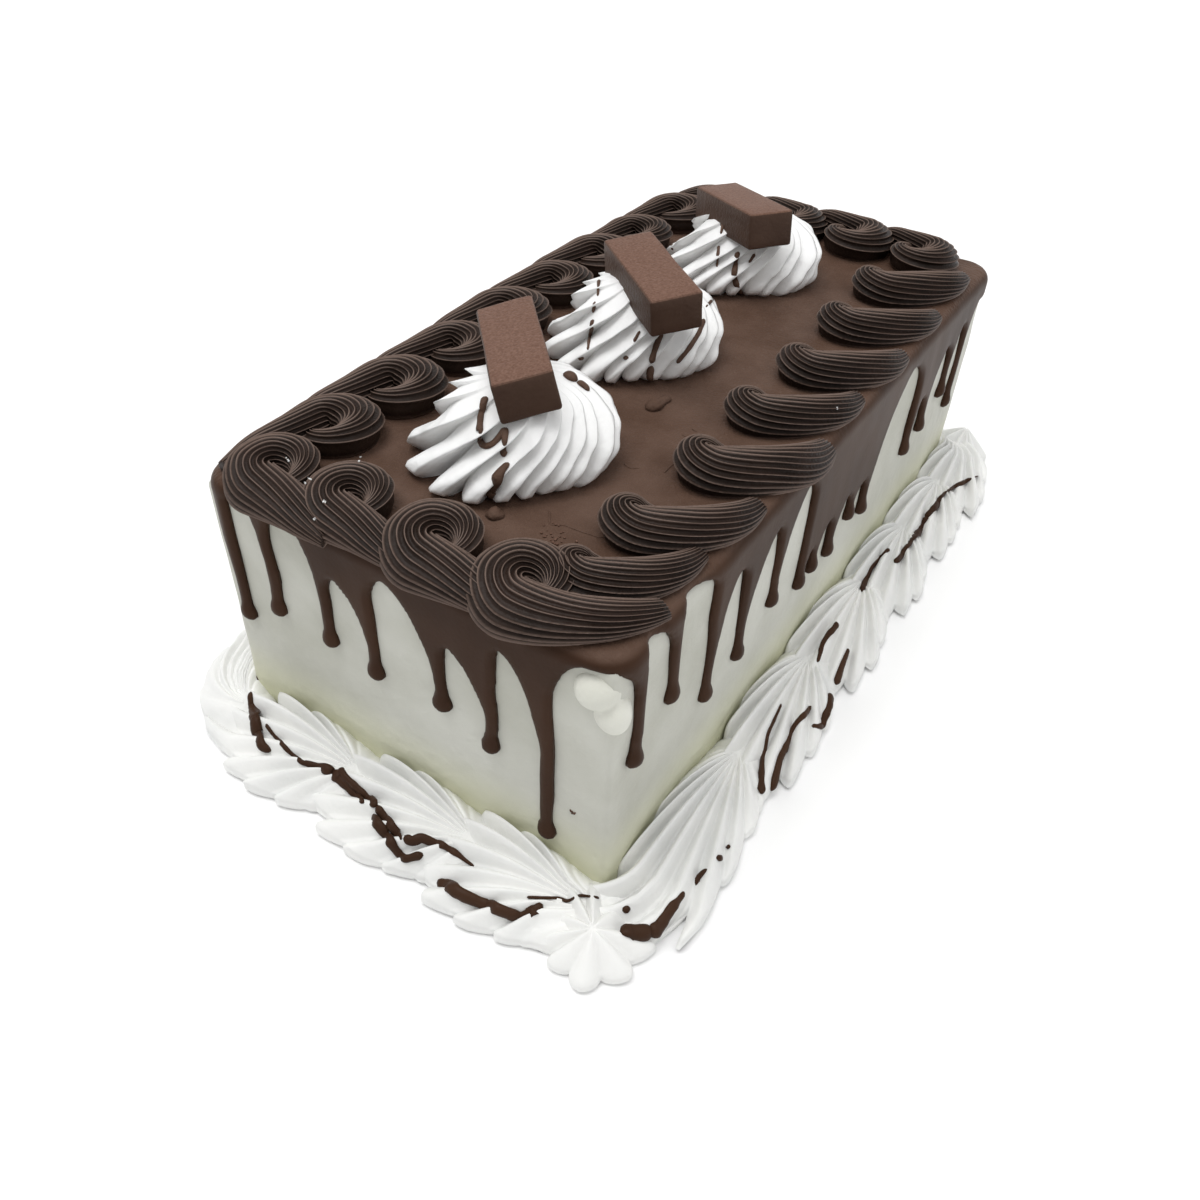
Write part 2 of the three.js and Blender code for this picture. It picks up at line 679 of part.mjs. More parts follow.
// The largest of the bodies that a cut may leave.
function largest(solid) {
  return solid.decompose().sort((a, b) => b.volume() - a.volume())[0];
}

const cake = new THREE.Group();

function addNode(name, solid, material) {
  const { vertProperties, triVerts } = solid.getMesh();
  const geometry = new THREE.BufferGeometry();
  geometry.setAttribute("position", new THREE.BufferAttribute(vertProperties, 3));
  geometry.setIndex(new THREE.BufferAttribute(triVerts, 1));
  geometry.computeVertexNormals();
  const mesh = new THREE.Mesh(geometry, material);
  mesh.name = name;
  cake.add(mesh);
}

const finish = (color, roughness) => new THREE.MeshStandardMaterial({ color, roughness, metalness: 0 });
const frosting = finish(0xe4e3d5, 0.55);
const glaze = finish(0x49332a, 0.35);
const piping = finish(0x3a2a25, 0.5);
const cream = finish(0xf6f6f4, 0.5);
const chocolate = finish(0x6b4a3c, 0.45);

addNode("cake_loaf", loafSolid(0).add(smearSolid()), frosting);
addNode("chocolate_glaze", DROPS.reduce((solid, drop) => solid.add(dropSolid(drop)), glazeSolid()), glaze);

SCROLLS.forEach((scroll, i) => {
  const next = SCROLLS[(i + 1) % SCROLLS.length];
  const solid = largest(scrollSolid(scroll, 0).subtract(scrollSolid(next, GAP)));
  addNode("piped_scroll_" + String(i + 1).padStart(2, "0"), solid, piping);
});

ROSETTES.forEach((rosette, i) => {
  const strands = ROSETTE_DRIZZLE.filter(([number]) => number === i).map(([, fromRound, fromLevel, round, level]) =>
    strandSolid(
      pointsBetween(3, (t) => rosettePoint(rosette, mix(fromRound, round, t), mix(fromLevel, level, t), 1, 0)),
    ),
  );
  const topped = strands.reduce((solid, strand) => solid.add(strand), rosetteSolid(rosette));
  const seated = topped.subtract(barSolid(BARS[i], GAP));
  addNode("cream_rosette_" + (i + 1), largest(seated), cream);
  addNode("chocolate_bar_" + (i + 1), barSolid(BARS[i], 0), chocolate);
});

SHELLS.forEach((shell, i) => {
  const next = SHELLS[(i + 1) % SHELLS.length];
  const strands = SHELL_DRIZZLE.filter(([row, number]) => row === shell.row && number === shell.number).map(
    ([, , fromT, fromOver, t, over]) =>
      strandSolid(pointsBetween(3, (s) => shellPoint(shell, mix(fromT, t, s), mix(fromOver, over, s), 1, 0))),
  );
  const topped = strands.reduce((solid, strand) => solid.add(strand), shellSolid(shell, 0));
  const cutters = [shellSolid(next, GAP), loafSolid(GAP), ...STARS.map((star) => starSolid(star, GAP))];
  const solid = largest(cutters.reduce((left, cutter) => left.subtract(cutter), topped));
  addNode("cream_shell_" + String(i + 1).padStart(2, "0"), solid, cream);
});

STARS.forEach((star, i) => {
  addNode("cream_star_" + (i + 1), starSolid(star, 0), cream);
});

export default cake;
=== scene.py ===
# A loaf-shaped ice cream cake with a dripping chocolate glaze, piped chocolate scrolls round its
# top, three cream rosettes that each carry a chocolate bar, and cream shells round its foot.
# Points are worked out in millimetres and made metres as each mesh is built. +Z is up.
import json
import math
from bisect import bisect_right

import bmesh
import bpy
from mathutils import Matrix, Vector, kdtree, noise
from mathutils.bvhtree import BVHTree

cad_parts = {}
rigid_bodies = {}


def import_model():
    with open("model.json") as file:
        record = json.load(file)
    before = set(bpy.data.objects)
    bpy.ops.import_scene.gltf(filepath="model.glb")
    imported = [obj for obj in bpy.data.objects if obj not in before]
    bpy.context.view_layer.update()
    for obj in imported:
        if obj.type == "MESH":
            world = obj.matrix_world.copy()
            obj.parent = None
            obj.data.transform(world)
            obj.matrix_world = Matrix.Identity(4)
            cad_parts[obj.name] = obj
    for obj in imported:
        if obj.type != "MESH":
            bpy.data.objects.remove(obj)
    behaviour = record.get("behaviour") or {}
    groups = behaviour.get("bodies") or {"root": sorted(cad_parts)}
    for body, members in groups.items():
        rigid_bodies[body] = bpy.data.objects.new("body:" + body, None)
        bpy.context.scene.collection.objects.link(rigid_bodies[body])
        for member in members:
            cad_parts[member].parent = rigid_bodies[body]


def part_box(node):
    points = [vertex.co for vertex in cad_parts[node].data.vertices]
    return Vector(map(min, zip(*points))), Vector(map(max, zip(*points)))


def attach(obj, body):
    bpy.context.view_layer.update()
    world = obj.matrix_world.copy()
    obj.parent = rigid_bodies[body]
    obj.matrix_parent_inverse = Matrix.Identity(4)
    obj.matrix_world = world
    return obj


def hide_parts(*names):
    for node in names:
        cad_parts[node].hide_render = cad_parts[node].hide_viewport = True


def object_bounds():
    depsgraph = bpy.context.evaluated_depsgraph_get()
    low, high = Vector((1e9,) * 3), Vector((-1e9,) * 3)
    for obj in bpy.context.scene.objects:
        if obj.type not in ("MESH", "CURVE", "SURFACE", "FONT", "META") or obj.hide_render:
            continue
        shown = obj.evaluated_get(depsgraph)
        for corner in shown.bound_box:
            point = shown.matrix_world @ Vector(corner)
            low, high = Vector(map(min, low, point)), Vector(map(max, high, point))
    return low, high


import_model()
cad_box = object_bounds()

# Frosted loaf: a block of ice cream under a smooth coat of whipped frosting, with upright corners
# and top edge rounded off by the spreading knife. A cube is bevelled, remeshed and spread uneven.
MM = 0.001
GAP = 0.3  # between two CAD pieces that touch
SKIRT = 2  # thickness of the glaze down the walls
UPRIGHT_RADIUS = 9
LOAF_EDGE = 3
GLAZE = 2.4  # thickness of the glaze on top
LOAF_MESH = 2.2  # mesh size of the frosting
BROAD_SWELL = 0.5  # how far the walls swell in and out over broad waves
BROAD_WAVE = 34
DRAWN_SWELL = 0.35  # and over waves that the knife drew along the wall
DRAWN_WAVE = (60, 60, 14)
FLAT_FOOT = 1  # the swell starts above this height
FLAT_RIM = 2  # and ends this far under the crown
glaze_box = [[round(value / MM, 1) for value in corner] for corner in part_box("chocolate_glaze")]
HALF_WIDTH = glaze_box[1][0] - GAP - SKIRT
HALF_LENGTH = glaze_box[1][1] - GAP - SKIRT
TOP = round(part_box("cream_rosette_1")[0][2] / MM - GAP, 1)  # top of the glaze
CROWN = TOP - GLAZE + GAP


def scatter(count):
    """A number from 0 to 1 that looks random but is the same for the same count."""
    value = math.sin(count * 12.9898 + 4.1) * 43758.5453
    return value - math.floor(value)


def mix(low, high, share):
    return low + (high - low) * share


def shared_effect(name, inputs, output, kind):
    """A shader effect that several materials share: its tree and the nodes at its two ends."""
    tree = bpy.data.node_groups.new(name, "ShaderNodeTree")
    for label, socket_kind in inputs:
        tree.interface.new_socket(label, in_out="INPUT", socket_type=socket_kind)
    tree.interface.new_socket(output, in_out="OUTPUT", socket_type=kind)
    return tree, tree.nodes.new("NodeGroupInput"), tree.nodes.new("NodeGroupOutput")


def smooth_climb(nodes, low, high, at_low=0, at_high=1):
    """A node that goes softly from one value to another as its own value goes from low to high."""
    climb = nodes.new("ShaderNodeMapRange")
    climb.interpolation_type = "SMOOTHSTEP"
    climb.inputs["From Min"].default_value = low
    climb.inputs["From Max"].default_value = high
    climb.inputs["To Min"].default_value = at_low
    climb.inputs["To Max"].default_value = at_high
    return climb


def noise_in(nodes, links, size, detail):
    """A noise over the piece's own place. `size` is the socket that gives its scale."""
    place = nodes.new("ShaderNodeTexCoord")
    cloud = nodes.new("ShaderNodeTexNoise")
    cloud.inputs["Detail"].default_value = detail
    links.new(place.outputs["Object"], cloud.inputs["Vector"])
    links.new(size, cloud.inputs["Scale"])
    return cloud


# Two colours that change softly into each other over the surface.
soft_clouds, start, end = shared_effect(
    "soft_clouds",
    [("Scale", "NodeSocketFloat"), ("Low", "NodeSocketColor"), ("High", "NodeSocketColor")],
    "Colour",
    "NodeSocketColor",
)
cloud = noise_in(soft_clouds.nodes, soft_clouds.links, start.outputs["Scale"], 4)
spread = soft_clouds.nodes.new("ShaderNodeMapRange")
spread.inputs["From Min"].default_value = 0.35
spread.inputs["From Max"].default_value = 0.65
blend = soft_clouds.nodes.new("ShaderNodeMix")
blend.data_type = "RGBA"
soft_clouds.links.new(cloud.outputs["Fac"], spread.inputs["Value"])
soft_clouds.links.new(spread.outputs["Result"], blend.inputs["Factor"])
soft_clouds.links.new(start.outputs["Low"], blend.inputs[6])
soft_clouds.links.new(start.outputs["High"], blend.inputs[7])
soft_clouds.links.new(blend.outputs[2], end.inputs["Colour"])

# Fine grain of the surface, `Depth` metres deep.
fine_grain, start, end = shared_effect(
    "fine_grain", [("Scale", "NodeSocketFloat"), ("Depth", "NodeSocketFloat")], "Normal", "NodeSocketVector"
)
cloud = noise_in(fine_grain.nodes, fine_grain.links, start.outputs["Scale"], 5)
bump = fine_grain.nodes.new("ShaderNodeBump")
fine_grain.links.new(cloud.outputs["Fac"], bump.inputs["Height"])
fine_grain.links.new(start.outputs["Depth"], bump.inputs["Distance"])
fine_grain.links.new(bump.outputs["Normal"], end.inputs["Normal"])


class Finish:
    """A material with cloudy colour and fine grain on its own Principled shader."""

    def __init__(self, name, low, high, cloud_scale, roughness, specular, grain_scale, grain_depth):
        self.material = bpy.data.materials.new(name)
        self.material.use_nodes = True
        self.nodes = self.material.node_tree.nodes
        self.links = self.material.node_tree.links
        self.shader = self.nodes["Principled BSDF"]
        self.shader.inputs["Roughness"].default_value = roughness
        self.shader.inputs["Specular IOR Level"].default_value = specular
        self.links.new(self.cloudy(cloud_scale, low, high), self.shader.inputs["Base Color"])
        self.grain = self.nodes.new("ShaderNodeGroup")
        self.grain.node_tree = fine_grain
        self.grain.inputs["Scale"].default_value = grain_scale
        self.grain.inputs["Depth"].default_value = grain_depth
        self.links.new(self.grain.outputs["Normal"], self.shader.inputs["Normal"])

    def cloudy(self, scale, low, high):
        """A colour that changes softly between two others over the surface."""
        clouds = self.nodes.new("ShaderNodeGroup")
        clouds.node_tree = soft_clouds
        clouds.inputs["Scale"].default_value = scale
        clouds.inputs["Low"].default_value = (*low, 1)
        clouds.inputs["High"].default_value = (*high, 1)
        return clouds.outputs["Colour"]

    def over(self, mask, colour):
        """Blends another colour over the finish's own where the mask's socket is 1."""
        blend = self.nodes.new("ShaderNodeMix")
        blend.data_type = "RGBA"
        self.links.new(mask, blend.inputs["Factor"])
        self.links.new(self.shader.inputs["Base Color"].links[0].from_socket, blend.inputs[6])
        if isinstance(colour, tuple):
            blend.inputs[7].default_value = (*colour, 1)
        else:
            self.links.new(colour, blend.inputs[7])
        self.links.new(blend.outputs[2], self.shader.inputs["Base Color"])

    def by_height(self, low, high, at_low, at_high):
        """A mask that goes from one value at a height in millimetres to another at a second."""
        place = self.nodes.new("ShaderNodeTexCoord")
        axes = self.nodes.new("ShaderNodeSeparateXYZ")
        climb = smooth_climb(self.nodes, low * MM, high * MM, at_low, at_high)
        self.links.new(place.outputs["Object"], axes.inputs["Vector"])
        self.links.new(axes.outputs["Z"], climb.inputs["Value"])
        return climb.outputs["Result"]


frosting = Finish("spread_frosting", (0.48, 0.48, 0.42), (0.6, 0.6, 0.545), 26, 0.5, 0.2, 260, 0.0006)
# It is a little yellower near the foot.
frosting.over(frosting.by_height(6, 36, 0.7, 0), (0.74, 0.74, 0.5))

bpy.ops.object.select_all(action="DESELECT")
bpy.ops.mesh.primitive_cube_add(size=1, location=(0, 0, CROWN * MM / 2))
loaf = bpy.context.object
loaf.name = "frosted_loaf"
loaf.data.name = "frosted_loaf"
bpy.ops.object.mode_set(mode="EDIT")
bpy.ops.mesh.select_all(action="SELECT")
bpy.ops.transform.resize(value=(2 * HALF_WIDTH * MM, 2 * HALF_LENGTH * MM, CROWN * MM))
bpy.ops.mesh.select_all(action="DESELECT")
cage = bmesh.from_edit_mesh(loaf.data)
for edge in cage.edges:
    edge.select_set(abs(edge.verts[0].co.z - edge.verts[1].co.z) > CROWN * MM / 2)
bmesh.update_edit_mesh(loaf.data)
bpy.ops.mesh.bevel(offset=UPRIGHT_RADIUS * MM, segments=8)
bpy.ops.mesh.select_all(action="DESELECT")
cage = bmesh.from_edit_mesh(loaf.data)
for edge in cage.edges:
    edge.select_set(all(corner.co.z > 0.49 * CROWN * MM for corner in edge.verts))
bmesh.update_edit_mesh(loaf.data)
bpy.ops.mesh.bevel(offset=LOAF_EDGE * MM, segments=4)
bpy.ops.object.mode_set(mode="OBJECT")
bpy.ops.object.transform_apply(location=True, rotation=True, scale=True)
remesh = loaf.modifiers.new("even_mesh", "REMESH")
remesh.mode = "VOXEL"
remesh.voxel_size = LOAF_MESH * MM
bpy.ops.object.modifier_apply(modifier=remesh.name)
for corner in loaf.data.vertices:
    place_mm = corner.co / MM
    if place_mm.z < FLAT_FOOT:
        corner.co.z = 0
        continue
    drawn = Vector([at / wave for at, wave in zip(place_mm, DRAWN_WAVE)])
    swell = BROAD_SWELL * noise.noise(place_mm / BROAD_WAVE) + DRAWN_SWELL * noise.noise(drawn)
    flat = Vector((place_mm.x / HALF_WIDTH, place_mm.y / HALF_LENGTH, 0))
    side = Vector((1, 0, 0)) if abs(flat.x) > abs(flat.y) else Vector((0, 1, 0))
    side *= 1 if side.dot(flat) > 0 else -1
    if place_mm.z < CROWN - FLAT_RIM:
        corner.co += side * swell * MM
bpy.ops.object.shade_smooth()
loaf.data.materials.append(frosting.material)
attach(loaf, "root")
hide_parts("cake_loaf")

# Chocolate glaze: a poured sheet over the loaf's top that runs down the walls in thin drips with
# round ends and leaves bare windows between them. Its hem is found on a net laid round the loaf.
NET = 1.0  # mesh size of that net
GLAZE_EDGE = 5  # radius of its rounded top edge
EDGE_START = TOP - GLAZE_EDGE
SHEET = 2.3  # thickness down the walls, measured from just inside the frosting
SUNK = 0.2
HEM_ROUND = 2.4  # how far in from the hem it has its full thickness
HEM_FACE = 0.3  # part of that which is upright at the hem itself
NECK = 1.9  # half width of a drip
BULB = 2.8  # radius of its round end
BULB_THICK = 0.8  # how much thicker it is there
LOWEST_HEM = 12
# A row is one drip: its place along the straight wall, the height of its tip, the place and height
# of the top of the bare window after it, and how deep the window's left and right shoulders are.
FRONT_DRIPS = [
    (-2.2, 42.2, 5.8, 94, 8, 16),
    (13.6, 51.4, 23.5, 94, 14, 22),
    (34.6, 50, 40.2, 78, 8, 19),
    (51.6, 46.2, 59.2, 86.5, 10, 28),
    (75.9, 48, 80, 74, 6, 19),
    (93, 41.3, 97, 82.5, 7, 31),
    (111.4, 17.7, 123, 91, 16, 14),
]
RIGHT_DRIPS = [
    (1.5, 51.2, 6, 94, 6, 12),
    (19.2, 60.1, 26, 95, 8, 8),
    (41, 41.8, 52.6, 82, 30, 6),
    (60.8, 42.6, 76.6, 82, 28, 6),
    (82.8, 48.3, 97.2, 86, 26, 8),
    (105.6, 39.8, 110.5, 53, 6, 5),
    (115.4, 40.3, 122.5, 57, 8, 6),
    (129.8, 38.1, 138, 58, 12, 6),
    (145.6, 44.1, 152.5, 56, 8, 6),
    (160, 38.2, 184, 86, 36, 14),
    (200.6, 42.1, 207, 64, 12, 8),
    (215.6, 45.1, 226, 77, 18, 10),
    (235.6, 51.5, 242, 80, 12, 8),
    (250.5, 40, 258, 84, 14, 10),
]
# The walls that don't show have drips of the same kind, spread about evenly.
HIDDEN_DRIP_START = 2
HIDDEN_DRIP_PITCH = 19.5
HIDDEN_DRIP_SHIFT = 0.3  # how far one moves on, as a share of the pitch
HIDDEN_TIPS = (38, 56)
HIDDEN_WINDOW_TOPS = (72, 88)
HIDDEN_SHOULDERS = (9, 0.6)  # the left one's depth, and the right one's as a share of the window's
WINDOW_ROUND = 1.55  # 2 gives the windows round shoulders, less gives straighter ones
WINDOW_STEM = 8  # how high a window stays straight under its shoulders
HEM_WANDER = 0.9  # how far the hem wanders from side to side
HEM_WAVE = (18, 12)
HEM_CLEAR = 0.12  # the least way from the hem to a corner of the net, which keeps its cells sound
MELT = 2.4  # over how far a drip's sides and its round end run together
BULB_REACH = 3.2  # how far round a drip's tip the glaze is thicker
SHEET_UNEVEN = 0.15
SHEET_WAVE = (9, 16)
TOP_RINGS = 16
TOP_UNEVEN = 0.35
TOP_WAVE = 26
TOP_SETTLE = 8  # how soon those waves start in from the edge

CORNER_RUN = math.pi / 2 * UPRIGHT_RADIUS
STRAIGHTS = [2 * (half - UPRIGHT_RADIUS) for half in (HALF_WIDTH, HALF_LENGTH)] * 2
WALL_STARTS = [sum(STRAIGHTS[:side]) + side * CORNER_RUN for side in range(4)]
ROUND = sum(STRAIGHTS) + 4 * CORNER_RUN


def at_wall(run, out, z):
    """The point `run` mm round the loaf from the front wall's left end, `out` mm off the wall."""
    along = run % ROUND
    side = bisect_right(WALL_STARTS, along) - 1
    past = along - WALL_STARTS[side]
    turn = max(0, past - STRAIGHTS[side]) / UPRIGHT_RADIUS
    on_straight = min(past, STRAIGHTS[side]) - STRAIGHTS[side] / 2
    reach = UPRIGHT_RADIUS + out
    off = HALF_WIDTH if side % 2 else HALF_LENGTH
    x = on_straight + math.sin(turn) * reach
    y = UPRIGHT_RADIUS - off - math.cos(turn) * reach
    for _ in range(side):
        x, y = -y, x
    return x, y, z


drips = list(FRONT_DRIPS)
for run, tip, window, *rest in RIGHT_DRIPS:
    drips.append((run + WALL_STARTS[1], tip, window + WALL_STARTS[1], *rest))
hidden_start = WALL_STARTS[2] + HIDDEN_DRIP_START
hidden_count = round((ROUND - hidden_start) / HIDDEN_DRIP_PITCH)
hidden_pitch = (ROUND - hidden_start) / hidden_count
hidden_runs = [
    hidden_start + hidden_pitch * (i + HIDDEN_DRIP_SHIFT * scatter(i)) for i in range(hidden_count)
]
hidden_runs.append(FRONT_DRIPS[0][0] + ROUND)
for i in range(hidden_count):
    tip = mix(*HIDDEN_TIPS, scatter(i + 50))
    window_top = mix(*HIDDEN_WINDOW_TOPS, scatter(i + 100))
    window = mix(hidden_runs[i], hidden_runs[i + 1], 0.5)
    right_deep = HIDDEN_SHOULDERS[1] * (window_top - tip)
    drips.append((hidden_runs[i], tip, window, window_top, HIDDEN_SHOULDERS[0], right_deep))
drips.append((drips[0][0] + ROUND, *drips[0][1:]))
drip_runs = [drip[0] for drip in drips]


def inside_glaze(run, height):
    """About how far a place on the unrolled wall lies inside the glaze's hem, negative outside."""
    if run < drip_runs[0]:
        run += ROUND
    run += HEM_WANDER * noise.noise((run / HEM_WAVE[0], height / HEM_WAVE[1], 3.1))
    number = min(max(bisect_right(drip_runs, run) - 1, 0), len(drips) - 2)
    at, tip, window, window_top, left_deep, right_deep = drips[number]
    next_at, next_tip = drips[number + 1][:2]
    if run <= window:
        wide = max(window - at - NECK, 0.5)
        deep = min(left_deep, window_top - tip - WINDOW_STEM)
        across = (window - run) / wide
        power = 2
    else:
        wide = max(next_at - NECK - window, 0.5)
        deep = min(right_deep, window_top - next_tip - WINDOW_STEM)
        across = (run - window) / wide
        power = WINDOW_ROUND
    if right_deep < left_deep:
        power = WINDOW_ROUND + 2 - power
    deep = max(deep, 2)
    up = (height - window_top + deep) / deep
    if up <= 0:
        bare = wide * (1 - across)
    else:
        across = max(across, 1e-3)
        ring = (across**power + up**power) ** (1 / power)
        steep = math.hypot(across ** (power - 1) / wide, up ** (power - 1) / deep) * ring ** (1 - power)
        bare = (1 - ring) / steep
    nearest, nearest_tip = (at, tip) if run - at < next_at - run else (next_at, next_tip)
    covered = min(-bare, height - nearest_tip - BULB)
    bulb = BULB - math.hypot(run - nearest, height - nearest_tip - BULB)
    blend = max(MELT - abs(covered - bulb), 0) / MELT
    return max(covered, bulb) + blend * blend * MELT / 4


def glaze_point(run, down, thick):
    """A point of the glaze: `down` is the height on the wall, and then the way over the edge."""
    turn = max(0, down - EDGE_START) / GLAZE_EDGE
    radius = GLAZE_EDGE - SHEET + thick
    out = SHEET - SUNK - GLAZE_EDGE + math.cos(turn) * radius
    return at_wall(run, out, min(down, EDGE_START) + math.sin(turn) * radius)


columns = round(ROUND / NET)
column = ROUND / columns
edge_rows = round(math.pi / 2 * GLAZE_EDGE / NET)
wall_rows = round((EDGE_START - LOWEST_HEM) / NET)
heights = [LOWEST_HEM + (EDGE_START - LOWEST_HEM) * i / wall_rows for i in range(wall_rows)]
heights += [EDGE_START + math.pi / 2 * GLAZE_EDGE * i / edge_rows for i in range(edge_rows + 1)]
cover = []
for i in range(columns):
    line = [inside_glaze(i * column, height) for height in heights]
    cover.append([HEM_CLEAR if abs(value) < HEM_CLEAR else value for value in line])

net_places = []
net_indexes = {}


def net_place(key, run, height):
    """The number of a place on the net, which is added when it is new."""
    if key not in net_indexes:
        net_indexes[key] = len(net_places)
        net_places.append((run, height))
    return net_indexes[key]


cells = []
hem_edges = []
hem_indexes = set()
for i in range(columns):
    following = (i + 1) % columns
    for j in range(len(heights) - 1):
        square = [(i, j), (following, j), (following, j + 1), (i, j + 1)]
        values = [cover[a][b] for a, b in square]
        if max(values) <= 0:
            continue
        spots = [((i + (k in (1, 2))) * column, heights[b]) for k, (a, b) in enumerate(square)]
        outline = []
        for k in range(4):
            after = (k + 1) % 4
            if values[k] > 0:
                outline.append(net_place(square[k], *spots[k]))
            if (values[k] > 0) != (values[after] > 0):
                share = values[k] / (values[k] - values[after])
                key = tuple(sorted((square[k], square[after])))
                spot = [mix(spots[k][axis], spots[after][axis], share) for axis in (0, 1)]
                outline.append(net_place(key, *spot))
                hem_indexes.add(outline[-1])
        cells.append(outline)
        crossings = [k for k, index in enumerate(outline) if index in hem_indexes]
        for k in crossings:
            after = outline[(k + 1) % len(outline)]
            if after in hem_indexes and max(values) > 0 > min(values):
                hem_edges.append((outline[k], after))

hem_tree = kdtree.KDTree(3 * len(hem_indexes))
for index in hem_indexes:
    run, height = net_places[index]
    for turn in (-ROUND, 0, ROUND):
        hem_tree.insert((run + turn, height, 0), index)
hem_tree.balance()

glaze_points = []
for index, (run, height) in enumerate(net_places):
    inward = 0 if index in hem_indexes else hem_tree.find((run, height, 0))[2]
    rounding = 1 - min(1, (inward + HEM_FACE) / HEM_ROUND)
    number = bisect_right(drip_runs, run) - 1
    beside = (drips[max(number, 0)], drips[min(number + 1, len(drips) - 1)])
    near = min(beside, key=lambda drip: abs(drip[0] - run))
    off_bulb = math.hypot(run - near[0], height - near[1] - BULB) / BULB_REACH
    uneven = SHEET_UNEVEN * noise.noise((run / SHEET_WAVE[0], height / SHEET_WAVE[1], 0))
    full = SHEET + BULB_THICK * math.exp(-off_bulb * off_bulb) + uneven
    glaze_points.append(glaze_point(run, height, full * math.sqrt(1 - rounding * rounding)))
inner_first = len(glaze_points)
glaze_points += [glaze_point(run, height, 0) for run, height in net_places]
glaze_faces = list(cells)
glaze_faces += [[index + inner_first for index in reversed(outline)] for outline in cells]
glaze_faces += [(b, a, a + inner_first, b + inner_first) for a, b in hem_edges]

# The top of the sheet runs in from its rounded edge to a line along the loaf's middle.
SPINE = HALF_LENGTH - HALF_WIDTH
last_row = len(heights) - 1
rim = [net_indexes[(i, last_row)] for i in range(columns)]


def sheet_ring(share, height, waves):
    """Adds a ring of points that lies a share of the way from the rim to that line."""
    ring = []
    for index in rim:
        x, y, _ = glaze_points[index]
        middle = max(-SPINE, min(SPINE, y))
        point = Vector((mix(x, 0, share), mix(y, middle, share), height))
        settle = min(1, TOP_SETTLE * share)
        point.z += waves * settle * noise.noise(Vector((point.x / TOP_WAVE, point.y / TOP_WAVE, 7)))
        ring.append(len(glaze_points))
        glaze_points.append(tuple(point))
    return ring


def band(outer, inner):
    """Faces between two rings of points."""
    after = [*range(1, columns), 0]
    return [(outer[k], outer[after[k]], inner[after[k]], inner[k]) for k in range(columns)]


ring = rim
for i in range(TOP_RINGS):
    inner_ring = sheet_ring((i + 1) / TOP_RINGS, TOP, TOP_UNEVEN)
    glaze_faces += band(ring, inner_ring)
    ring = inner_ring
under_ring = sheet_ring(1, TOP - SHEET, 0)
under_band = band([index + inner_first for index in rim], under_ring)
glaze_faces += [tuple(reversed(face)) for face in under_band]


def piece_of(name, points, faces, material, node, merged=True, crests=()):
    """A closed, smooth piece from points in millimetres, riding where the CAD node does."""
    mesh = bpy.data.meshes.new(name)
    mesh.from_pydata([(x * MM, y * MM, z * MM) for x, y, z in points], [], faces)
    if crests:
        layer = mesh.attributes.new("crest", "FLOAT", "POINT")
        for index, value in enumerate(crests):
            layer.data[index].value = value
    skin = bmesh.new()
    skin.from_mesh(mesh)
    if merged:
        bmesh.ops.remove_doubles(skin, verts=skin.verts, dist=0.01 * MM)
    bmesh.ops.recalc_face_normals(skin, faces=skin.faces)
    for face in skin.faces:
        face.smooth = True
    skin.to_mesh(mesh)
    skin.free()
    mesh.materials.append(material)
    piece = bpy.data.objects.new(name, mesh)
    bpy.context.scene.collection.objects.link(piece)
    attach(piece, "root")
    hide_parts(node)
    return piece


glaze = Finish(
    "chocolate_glaze_finish", (0.04, 0.02, 0.012), (0.056, 0.0285, 0.017), 30, 0.4, 0.06, 700, 0.0005
)
# Its top is grainier, and painted paler there: a painted sheen on the glaze's top.
TOP_GRAIN_AND_SHEEN = (TOP - 2.5, TOP - 0.4)
painted_top_sheen = glaze.cloudy(55, (0.084, 0.048, 0.033), (0.122, 0.075, 0.055))
glaze.links.new(glaze.by_height(*TOP_GRAIN_AND_SHEEN, 0.00006, 0.0006), glaze.grain.inputs["Depth"])
glaze.over(glaze.by_height(*TOP_GRAIN_AND_SHEEN, 0, 1), painted_top_sheen)
piece_of("poured_glaze", glaze_points, glaze_faces, glaze.material, "chocolate_glaze")

# Piped chocolate scrolls: each one starts in a small pit, curls round it as a ridged rope from an
# open star nozzle and ends in a long tail under the next. The rope is a loft of ridged rings.
FLUTES = 17
FLUTE_POINTS = 6
FLUTE_DEPTH = 0.19
RIDGE_CROWDING = (0.38, 1.35)  # the ridges crowd beside the pit at first and move out along the rope
ROPE_FROM = math.radians(-42)
ROPE_TO = math.radians(222)
ROPE_UNEVEN = 0.03
ROPE_MIDDLE = 0.4  # height of the rope's middle, as a share of its own height
PIT_CLEAR = 0.12  # how near the rope comes to the middle of its pit
ARM_STEPS = 8
CURL_STEP = 5  # degrees
TAIL_STEPS = 22
TAIL_PIT = 6  # at its end the tail has this much room beside it
EASING = 4  # how often the stations are drawn towards their neighbours
HEADING_SPREAD = 10  # degrees by which scrolls of a row differ
SEAT = TOP - 0.2
DROOP = 34  # how stiffly the rope holds out over the glaze's rounded edge, before it bends down
# Stations of the two kinds of scroll. Arm: a straight start on the far side. Curl: from its first
# angle to the tail at 270 degrees. Each station has its half width, its height, the radius of the
# pit beside it and how far its crown leans away from the pit, as a share of the half width. Tail:
# the way along it as a share, and then half width, height and lean. It drifts to one side.
ROUND_SCROLL = {
    "arm": 0,
    "curl": [
        (-60, 2.6, 4.6, 2.7, 0.1), (0, 3.8, 7.4, 2.7, 0.2), (60, 5.0, 9.4, 2.3, 0.3),
        (130, 7.2, 10.4, 1.3, 0.15), (180, 8.0, 10.6, 0.7, -0.1), (225, 7.9, 10.6, 0.5, -0.22),
        (270, 7.6, 10.2, 0.4, -0.22),
    ],
    "tail": [(0.3, 6.9, 9.4, -0.15), (0.7, 5.6, 7.8, 0), (1, 3.4, 4.4, 0)],
    "drift": 3.5,
    "length": 28,
}
